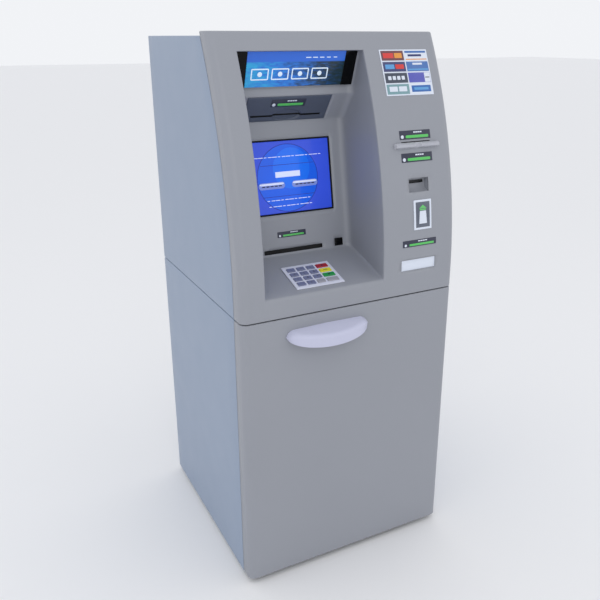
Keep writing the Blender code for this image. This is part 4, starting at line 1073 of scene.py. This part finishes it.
def build_card_sign():
    """White-framed grey picture: a green arrow over a pale card going up."""
    place = on_front(0.21075, 1.004)
    arrow = np.array([[-0.0120, 0.0165], [0.0120, 0.0165], [0.0, 0.0260]])
    card = np.array([[-0.0125, -0.0240], [0.0125, -0.0240], [0.0100, 0.0100], [-0.0100, 0.0100]])
    cells = (1, 5)
    shapes = [
        plated(place, (-0.0281, 0.0281), (-0.0395, 0.0395), 0.0003, 0.0022, WHITE_PRINT, cells=cells),
        plated(place, (-0.0225, 0.0225), (-0.0340, 0.0340), 0.0020, 0.0025, SLATE_PLASTIC, cells=cells),
        laid(place, arrow, 0.0024, 0.0029, LABEL_GREEN, 0.0002),
        laid(place, box_outline(0.0100, 0.0018), 0.0024, 0.0028, LABEL_GREEN, 0.0002, (0.0, 0.0135)),
        laid(place, card, 0.0024, 0.0030, WHITE_PRINT, 0.0003)]
    piece("card_picture", shapes, "operator_panel", ("card_sign",), "white_plastic")


# ---------------------------------------------------------------- screen
def build_screen():
    """Black surround with a stepped inner edge, and the lit display with a plain entry page."""
    half_u = (SCREEN_X[1] - SCREEN_X[0]) / 2
    spot = BACK((SCREEN_X[0] + SCREEN_X[1]) / 2, 0.0, 0.0)
    place = leaning(spot[0], spot[1] - FRONT, spot[2], BACK_LEAN)
    page = -0.0032
    surround = [(0.0, -0.0060), (0.0, -0.0004), (-0.0006, 0.0), (-0.0022, 0.0), (-0.0040, -0.0022),
                (-0.0042, -0.0060)]
    glass = box_outline(half_u - 0.0036, SCREEN_HALF_V - 0.0036)
    shapes = [(*frame_ring(place, half_u - 0.0003, SCREEN_HALF_V - 0.0003, 0.0015, surround), BLACK_PLASTIC),
              laid(place, glass, -0.0060, page, SCREEN_BLUE)]

    def mark(outline, rise, material, edge, at):
        shapes.append(laid(place, outline, page, page + rise, material, edge, at))

    disc = circle(0.0905, 64)
    shapes.append(laid(place, disc, page - 0.001, page + 0.0002, SCREEN_AZURE, 0.0001, (0.0, -0.003)))
    shapes.append((*outline_ring(place, disc, 0.0022, page, page + 0.0003, at=(0.0, -0.003)), SCREEN_DEEP))
    mark(disc * (0.60, 0.60), 0.0003, SCREEN_BRIGHT, 0.0001, (0.012, 0.022))
    for v in (0.0330, -0.0500):
        mark(box_outline(0.0780, 0.0008), 0.0004, SCREEN_DEEP, 0.0001, (0.0, v))
    mark(box_outline(0.0365, 0.0074), 0.0006, SCREEN_WHITE, 0.0002, (0.0, 0.0072))
    pill = round_rectangle(0.0385, 0.0088, 0.0086)
    for side in (-1, 1):
        u, v = 0.0490 * side, -0.0205
        mark(pill, 0.0005, SCREEN_PILL, 0.0002, (u, v))
        mark(pill * (0.93, 0.30), 0.0007, SCREEN_WHITE, 0.0002, (u, v + 0.0042))
        for k in range(5):
            spot = (u - 0.0240 + 0.0120 * k, v - 0.0014)
            mark(box_outline(0.0046, 0.0016), 0.0008, SCREEN_INK, 0.0001, spot)
    for v, start, count in ((0.0540, -0.102, 16), (-0.0600, -0.062, 10), (-0.0760, -0.058, 10)):
        for k in range(count):
            long = 0.0036 + 0.0016 * ((7 * k + 3 * count) % 3)
            mark(box_outline(long, 0.0009), 0.0006, SCREEN_WHITE, 0.0001, (start + 0.0134 * k, v))
    mark(circle(0.0030, 16), 0.0006, SCREEN_WHITE, 0.0001, (-0.118, 0.083))
    piece("screen", shapes, "operator_panel", ("screen_glass",), "screen_surface")


# ---------------------------------------------------------------- slots and windows of the recess
def slot_lip(place, half_u, half_v, deep, material, bulge=0.0006, width=0.0012):
    """Thin collar lining a slot: a closed section that laps the face and runs deep into the slot."""
    section = [(0.0, -deep), (0.0, 0.0), (-0.0002, bulge), (-width * 0.6, bulge * 0.8), (-width, -0.0006),
               (-width, -deep)]
    return (*frame_ring(place, half_u, half_v, 0.0012, section), material)


def wall_opening(x_span, z_span):
    """Place and half sizes of an opening in the leaning back wall, from its spans in x and z."""
    middle_z = sum(z_span) / 2
    place = leaning(sum(x_span) / 2, back_depth(middle_z), middle_z, BACK_LEAN)
    return place, (x_span[1] - x_span[0]) / 2, (z_span[1] - z_span[0]) / 2 / math.cos(BACK_LEAN)


def build_cash_slot():
    """Collar of the cash slot and the ribbed blade of its shutter behind it."""
    place, half_u, half_v = wall_opening(SLOT_X, SLOT_Z)
    piece("cash_slot_collar", [slot_lip(place, half_u, half_v, 0.0045, BLACK_PLASTIC, 0.0003, 0.0008)],
          "operator_panel", slot="dark_plastic")
    blade = [plated(place, (-0.094, 0.094), (-0.0090, 0.0090), -0.0075, -0.0056, BLACK_PLASTIC,
                         cells=(1, 1))]
    rib = box_outline(0.0840, 0.0005)
    for v in (-0.0030, 0.0, 0.0030):
        blade.append(laid(place, rib, -0.0060, -0.0053, BLACK_PLASTIC, 0.0002, (0.0, v)))
    piece("cash_shutter_blade", blade, "shutter", ("cash_shutter",), "zinc_sheet")


def build_peep_window():
    """Dark glass square beside the cash slot, set in a thin collar."""
    place, half_u, half_v = wall_opening(PEEP_X, PEEP_Z)
    glass = box_outline(half_u - 0.0006, half_v - 0.0006)
    piece("peep_window", [slot_lip(place, half_u, half_v, 0.0040, BLACK_PLASTIC, 0.0003, 0.0008),
                          laid(place, glass, -0.0038, -0.0012, BLACK_GLASS)],
          "operator_panel", slot="dark_plastic")


def build_document_panel():
    """Slate plate with a long slot across a finger scoop: an ellipse whose floor, below the plate by
    depth x smoothstep(rise / 0.2), rise = 1 - (u / A)^2 - (v / B)^2, is flat but for its steep rim.
    The strips beside the slot are coloured black as painted shade, widening the slot's dark line, and a
    black bar behind the slot is painted shade too."""
    slot_v = (0.0206, 0.0244)
    lip_shade_v = (slot_v[0] - 0.0009, slot_v[1] + 0.0009)
    half_u, low_v, high_v = 0.1190, 0.0035, 0.0840
    slot_u = (-0.1010, 0.1010)
    wide, tall, depth = 0.0425, 0.0190, 0.0038
    centre_u, centre_v, slot_middle = 0.0020, 0.0232, 0.0225
    fine_u = np.arange(centre_u - wide, centre_u + wide + 0.0004, 0.0009)
    fine_v = np.arange(centre_v - tall, centre_v + tall + 0.0003, 0.0007)
    us = filled([-half_u, half_u, *slot_u, *fine_u], 0.0100)
    away = fine_v[np.abs(fine_v - slot_middle) > 0.0033]
    vs = filled([low_v, high_v, *slot_v, *lip_shade_v, *away], 0.0060)
    edges = np.array([0.0005, 0.0012, 0.0020])
    us = np.unique(np.concatenate([us, edges - half_u, half_u - edges]))
    vs = np.unique(np.concatenate([vs, low_v + edges, high_v - edges]))
    u, v = np.meshgrid(us, vs)
    rise = np.clip((1 - ((u - centre_u) / wide) ** 2 - ((v - centre_v) / tall) ** 2) / 0.2, 0.0, 1.0)
    edge = np.clip(1 - np.minimum.reduce([u + half_u, half_u - u, v - low_v, high_v - v]) / 0.0020, 0.0, 1.0)
    w = 0.0010 - depth * rise**2 * (3 - 2 * rise) - 0.0012 * edge**2
    mid_v = mids(vs)[:, None]
    cut = in_span(mids(us), slot_u) & in_span(mid_v, slot_v)
    # Cells beside the slot take black: painted shade that widens the slot's dark line.
    lip_shade = in_span(mids(us), slot_u) & in_span(mid_v, lip_shade_v) & ~cut
    points = DOC(u, v, w).reshape(-1, 3)
    made = piece("document_panel", [(points, grid_quads(*w.shape, keep=~cut & ~lip_shade), SLATE_PLASTIC),
                                    (points, grid_quads(*w.shape, keep=lip_shade), BLACK_PLASTIC)],
                 "operator_panel", ("document_slot_panel",), "document_plastic", closed=False, angle=75)
    thicken(made, 0.0012)
    # A black bar right behind the slot, where there is only shade: painted shade, so that the slot reads
    # black.
    shade = laid(DOC, box_outline(0.1000, 0.0018), -0.0090, -0.0048, BLACK_PLASTIC, at=(0.0, slot_middle))
    piece("document_slot_painted_shade", [shade], "operator_panel", slot="dark_plastic")


# ---------------------------------------------------------------- key pad
KEY_WIDTHS = (0.0225, 0.0225, 0.0225, 0.0335)
KEY_HEIGHT = 0.0150
KEY_GAP_U = 0.0060
KEY_PITCH_V = 0.0215


def key_places():
    """Row, column, middle and width of each key, from the back row, left to right."""
    total = sum(KEY_WIDTHS) + 3 * KEY_GAP_U
    starts = -total / 2 + np.concatenate([[0.0], np.cumsum(np.array(KEY_WIDTHS[:-1]) + KEY_GAP_U)])
    middles = starts + np.array(KEY_WIDTHS) / 2
    return [(row, column, middles[column], (1.5 - row) * KEY_PITCH_V, KEY_WIDTHS[column])
            for row in range(4) for column in range(4)]


def figure_shape(character, size, at, w):
    """A numeral as a thin raised shape, taken from a text outline and laid on the shelf's slope."""
    text = bpy.data.curves.new("numeral", "FONT")
    text.body = character
    text.size = size
    text.align_x = "CENTER"
    text.align_y = "CENTER"
    text.extrude = 0.00008
    text.resolution_u = 3
    holder = bpy.data.objects.new("numeral", text)
    bpy.context.collection.objects.link(holder)
    graph = bpy.context.evaluated_depsgraph_get()
    mesh = bpy.data.meshes.new_from_object(holder.evaluated_get(graph))
    flat = np.empty(len(mesh.vertices) * 3)
    mesh.vertices.foreach_get("co", flat)
    flat = flat.reshape(-1, 3)
    faces = [list(polygon.vertices) for polygon in mesh.polygons]
    bpy.data.objects.remove(holder)
    bpy.data.meshes.remove(mesh)
    return SHELF(at[0] + flat[:, 0], at[1] + flat[:, 1], w + flat[:, 2]), faces


def build_key_plate():
    """Metal plate: a grid whose cells over the wells are left out, its rim rounded over."""
    half_u, half_v, clear = 0.0693, 0.0510, 0.0004
    u_marks, v_marks, wells = [-half_u, half_u], [-half_v, half_v], []
    for _, _, u, v, width in key_places():
        wells.append(((u - width / 2 - clear, u + width / 2 + clear),
                      (v - KEY_HEIGHT / 2 - clear, v + KEY_HEIGHT / 2 + clear)))
        u_marks += wells[-1][0]
        v_marks += wells[-1][1]
    us, vs = filled(u_marks, 0.02), filled(v_marks, 0.02)
    w = np.full((len(vs), len(us)), 0.0030)
    cut = np.zeros((len(vs) - 1, len(us) - 1), bool)
    for span_u, span_v in wells:
        cut |= in_span(mids(us), span_u) & in_span(mids(vs)[:, None], span_v)
    grid_u, grid_v = np.meshgrid(us, vs)
    plate = (SHELF(grid_u, grid_v, w).reshape(-1, 3), grid_quads(*w.shape, keep=~cut), KEY_PLATE)
    made = piece("key_plate", [plate], "operator_panel", ("keypad_plate",), "key_plate", closed=False)
    thicken(made, 0.0026)
    soften = made.modifiers.new("soften", "BEVEL")
    soften.width = 0.0005
    soften.segments = 2
    soften.limit_method = "ANGLE"
    tub = [(*frame_ring(SHELF, 0.0612, 0.0427, 0.002,
                        [(0.0, 0.0002), (0.0, -0.030), (-0.0015, -0.030), (-0.0015, 0.0002)]), DARK_PLASTIC),
           laid(SHELF, box_outline(0.0600, 0.0415), -0.0300, -0.0070, DARK_PLASTIC)]
    piece("key_tub", tub, "operator_panel", slot="dark_plastic")


def build_keys():
    """Sixteen caps: rounded rectangles stacked to a crisp rim round a slightly dished top."""
    caps = {0: KEY_RED, 1: KEY_YELLOW, 2: KEY_GREEN, 3: KEY_PALE}
    for row, column, u, v, width in key_places():
        finish = caps[row] if column == 3 else (KEY_PALE if (row, column) == (3, 2) else KEY_SLATE)
        levels = [(0.0, -0.0035), (0.0, 0.0036), (0.0002, 0.0044), (0.0007, 0.0050), (0.0014, 0.0052),
                  (0.0026, 0.0050), (0.0045, 0.0047)]
        rings = []
        for inset, w in levels:
            radius = max(0.0018 - inset * 0.3, 0.0004)
            line = round_rectangle(width / 2 - inset, KEY_HEIGHT / 2 - inset, radius)
            rings.append(SHELF(u + line[:, 0], v + line[:, 1], w))
        shapes = [(*ring_stack(np.stack(rings)), finish)]
        number = 3 * row + column + 1 if row < 3 else 0
        if column < 3 and (row < 3 or column == 1):
            shapes.append((*figure_shape(str(number), 0.0095, (u, v), 0.0048), KEY_INK))
        elif column == 3 and row < 3:
            mark = (circle(0.0028, 20), round_rectangle(0.0060, 0.0010, 0.0008), circle(0.0030, 20))[row]
            shapes.append(laid(SHELF, mark, 0.0046, 0.0049, KEY_INK, 0.0001, (u, v)))
        name = f"r{row + 1}_c{column + 1}"
        slot = ("key_red", "key_yellow", "key_green", "key_blank")[row] if column == 3 else "key_slate"
        piece(f"key_cap_{name}", shapes, f"button_{name}", (f"key_{name}",), slot)


# ---------------------------------------------------------------- right-hand column
def build_card_pocket():
    """Scoop round the card slot: deep at the top, its floor a quarter sweep out to the front."""
    half_u = (POCKET_X[1] - POCKET_X[0]) / 2
    middle_z = sum(POCKET_Z) / 2
    place = on_front(sum(POCKET_X) / 2, middle_z)
    half_v = (POCKET_Z[1] - POCKET_Z[0]) / 2 * 1.016
    deep = 0.0215
    low, high = -half_v, half_v
    t = np.linspace(0.0, 1.0, 13)
    floor = np.stack([0.0010 + (deep - 0.0010) * np.sin(t * math.pi / 2) ** 1.2,
                      low + 0.0200 * (1 - np.cos(t * math.pi / 2))], -1)
    path = np.concatenate([floor, [[deep, high - 0.0010], [deep - 0.0010, high - 0.0002], [0.0, high]]])
    side = jamb_columns(-half_u, 1, 0.0008, 0.0030)
    other = jamb_columns(half_u, -1, 0.0008, 0.0030)[::-1]
    slot_u = (-0.0280, 0.0280)
    slot_v = (0.0052, 0.0134)
    inner = filled([side[-1, 0], other[0, 0], *slot_u], 0.01)[1:-1]
    table = np.concatenate([side, np.stack([inner, 0 * inner + 1, 0 * inner, 0 * inner], -1), other])
    u, m, a, b = table.T
    v = filled([*path[:, 1], *slot_v], 0.004)
    depth = np.interp(v, path[:, 1], path[:, 0])
    lip, fillet = np.minimum(0.0008, depth / 2), np.minimum(0.0030, depth / 2)
    w = -(depth[:, None] * m + lip[:, None] * a + fillet[:, None] * b)
    cut = in_span(mids(u), slot_u) & in_span(mids(v)[:, None], slot_v) & (mids(m) > 0.99)[None, :]
    points = place(np.broadcast_to(u, w.shape), np.broadcast_to(v[:, None], w.shape), w)
    made = piece("card_pocket", [(points.reshape(-1, 3), grid_quads(*w.shape, keep=~cut), FRONT_PAINT)],
                 "operator_panel", ("card_bezel",), "front_paint", closed=False, angle=40, weld=1e-5)
    thicken(made, 0.0012)
    throat = [(0.0, -deep - 0.0004), (0.0, -deep + 0.0002), (-0.0010, -deep + 0.0002),
              (-0.0010, -deep - 0.0022), (-0.0006, -deep - 0.0024)]
    spot = place(0.0, sum(slot_v) / 2, 0.0)
    lean = math.asin((spot[2] - ARC_START) / ARC_RADIUS)
    mouth = leaning(spot[0], spot[1] - FRONT, spot[2], lean)
    piece("card_throat", [(*frame_ring(mouth, 0.0280, 0.0041, 0.0008, throat), BLACK_PLASTIC)],
          "operator_panel", slot="dark_plastic")


def build_receipt_ledge():
    """Thin ledge: a closed section (v, w) carried along u, its reach cut by a round notch in the middle."""
    place = on_front(RECEIPT_MIDDLE, 1.1825)
    half = 0.0690
    u = filled([-half, -half + 0.002, half - 0.002, half, -0.012, 0.012], 0.0016)
    reach = 0.0140 - 0.0095 * np.sqrt(np.clip(1 - (u / 0.0090) ** 2, 0.0, 1.0))
    reach -= 0.0022 * np.clip(np.abs(u) / half, 0.0, 1.0) ** 2
    taper = np.minimum(1.0, 0.55 + (half - np.abs(u)) / 0.004)
    corners = [(-0.0066, 0.0), (-0.0048, 0.90), (-0.0014, 1.0), (0.0014, 1.0), (0.0068, 0.50), (0.0074, 0.0)]
    section = rounded_path(corners, (0.001, 0.0010, 0.0010, 0.002), 4)
    v = section[:, 0][None, :] * taper[:, None]
    w = 0.0003 + (reach[:, None] - 0.0003) * np.clip(section[:, 1], 0.0, 1.0)[None, :] * taper[:, None]
    shape = ring_stack(place(np.broadcast_to(u[:, None], w.shape), v, w))
    # The ledge's paler finish is painted highlight; its material is the front paint.
    piece("receipt_ledge", [(*shape, LEDGE_HIGHLIGHT_PAINT)], "operator_panel", ("receipt_chin",), "front_paint",
          angle=40)
    middle = on_front(sum(RECEIPT_X) / 2, sum(RECEIPT_Z) / 2)
    half_v = (RECEIPT_Z[1] - RECEIPT_Z[0]) / 2 * 1.03
    piece("receipt_collar", [slot_lip(middle, 0.0450, half_v, 0.0060, BLACK_PLASTIC, 0.0002, 0.0004)],
          "operator_panel", slot="dark_plastic")


def build_reader_window():
    """Recessed pale window in a thin grey collar."""
    middle_z = sum(WINDOW_Z) / 2
    place = on_front(sum(WINDOW_X) / 2, middle_z)
    half_u, half_v = (WINDOW_X[1] - WINDOW_X[0]) / 2, (WINDOW_Z[1] - WINDOW_Z[0]) / 2
    gap = 0.001
    shapes = [slot_lip(place, half_u, half_v, 0.0050, FRONT_PAINT, 0.0004, 0.0012),
              plated(place, (-half_u + gap, half_u - gap), (-half_v + gap, half_v - gap), -0.0058,
                          -0.0030, WHITE_PRINT, cells=(4, 3))]
    piece("reader_pane", shapes, "operator_panel", ("reader_window",), "white_plastic")


# ---------------------------------------------------------------- room, light and camera
def build_stage():
    """Plain pale floor at height 0 and an even pale room."""
    mesh = bpy.data.meshes.new("floor")
    reach = 40.0
    corners = [(x, y, 0.0) for x, y in box_outline(reach, reach)]
    mesh.from_pydata(corners, [], [(0, 1, 2, 3)])
    floor = bpy.data.objects.new("floor", mesh)
    bpy.context.collection.objects.link(floor)
    material = bpy.data.materials.new("floor_paint")
    material.use_nodes = True
    shader = material.node_tree.nodes["Principled BSDF"]
    shader.inputs["Base Color"].default_value = (0.88, 0.88, 0.89, 1.0)
    shader.inputs["Roughness"].default_value = 0.7
    mesh.materials.append(material)
    world = bpy.data.worlds.new("room")
    bpy.context.scene.world = world
    world.use_nodes = True
    world.node_tree.nodes["Background"].inputs["Color"].default_value = (0.94, 0.955, 0.985, 1.0)
    world.node_tree.nodes["Background"].inputs["Strength"].default_value = 0.94
    bpy.context.scene.view_settings.view_transform = "Standard"


def add_light(name, spot, target, size, power, colour):
    """A rectangular soft light that looks from a spot at a target."""
    light = bpy.data.lights.new(name, "AREA")
    light.shape = "RECTANGLE"
    light.size, light.size_y = size
    light.energy = power
    light.color = colour
    holder = bpy.data.objects.new(name, light)
    bpy.context.collection.objects.link(holder)
    holder.location = spot
    aim = Vector(target) - Vector(spot)
    holder.rotation_euler = aim.to_track_quat("-Z", "Y").to_euler()


def build_lights():
    """Weak soft lights that only give the even room a direction."""
    middle = (0.0, 0.0, 0.85)
    add_light("front_soft", (-1.4, -3.2, 2.6), middle, (2.4, 2.4), 14.0, (1.0, 0.98, 0.96))
    add_light("left_soft", (-3.4, 0.4, 2.0), middle, (2.2, 2.6), 5.0, (0.93, 0.96, 1.0))
    add_light("right_soft", (3.0, -1.8, 1.8), middle, (2.0, 2.4), 3.0, (1.0, 0.98, 0.95))
    add_light("top_soft", (0.0, -0.6, 3.6), middle, (2.6, 2.6), 2.0, (1.0, 1.0, 1.0))


def build_camera():
    """The view from the customer's left, above the machine's shoulder."""
    camera = bpy.data.cameras.new("view")
    camera.sensor_width = 36.0
    camera.lens = 41.82
    camera.shift_x = -0.0182
    camera.shift_y = -0.0210
    holder = bpy.data.objects.new("view", camera)
    bpy.context.collection.objects.link(holder)
    holder.location = (-0.893, FRONT - 1.457, 1.449)
    holder.rotation_euler = (math.radians(90.0 - 19.78), 0.0, math.radians(-27.64))
    bpy.context.scene.camera = holder


build_camera()
build_lights()
build_stage()
dress_solids()
build_operator_front()
build_casing("upper_housing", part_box("upper_housing")[0][2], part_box("upper_housing")[1][2],
             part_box("upper_housing")[0][2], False)
build_casing("lower_housing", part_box("lower_housing")[0][2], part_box("lower_housing")[1][2],
             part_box("lower_housing")[1][2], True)
build_rear_fixings()
build_cable_grommet()
build_door_skin()
build_door_knuckles()
build_door_pull()
build_sign()
build_document_panel()
build_screen()
build_cash_slot()
build_peep_window()
build_labels()
build_key_plate()
build_keys()
build_card_pocket()
build_card_sign()
build_network_sign()
build_receipt_ledge()
build_reader_window()
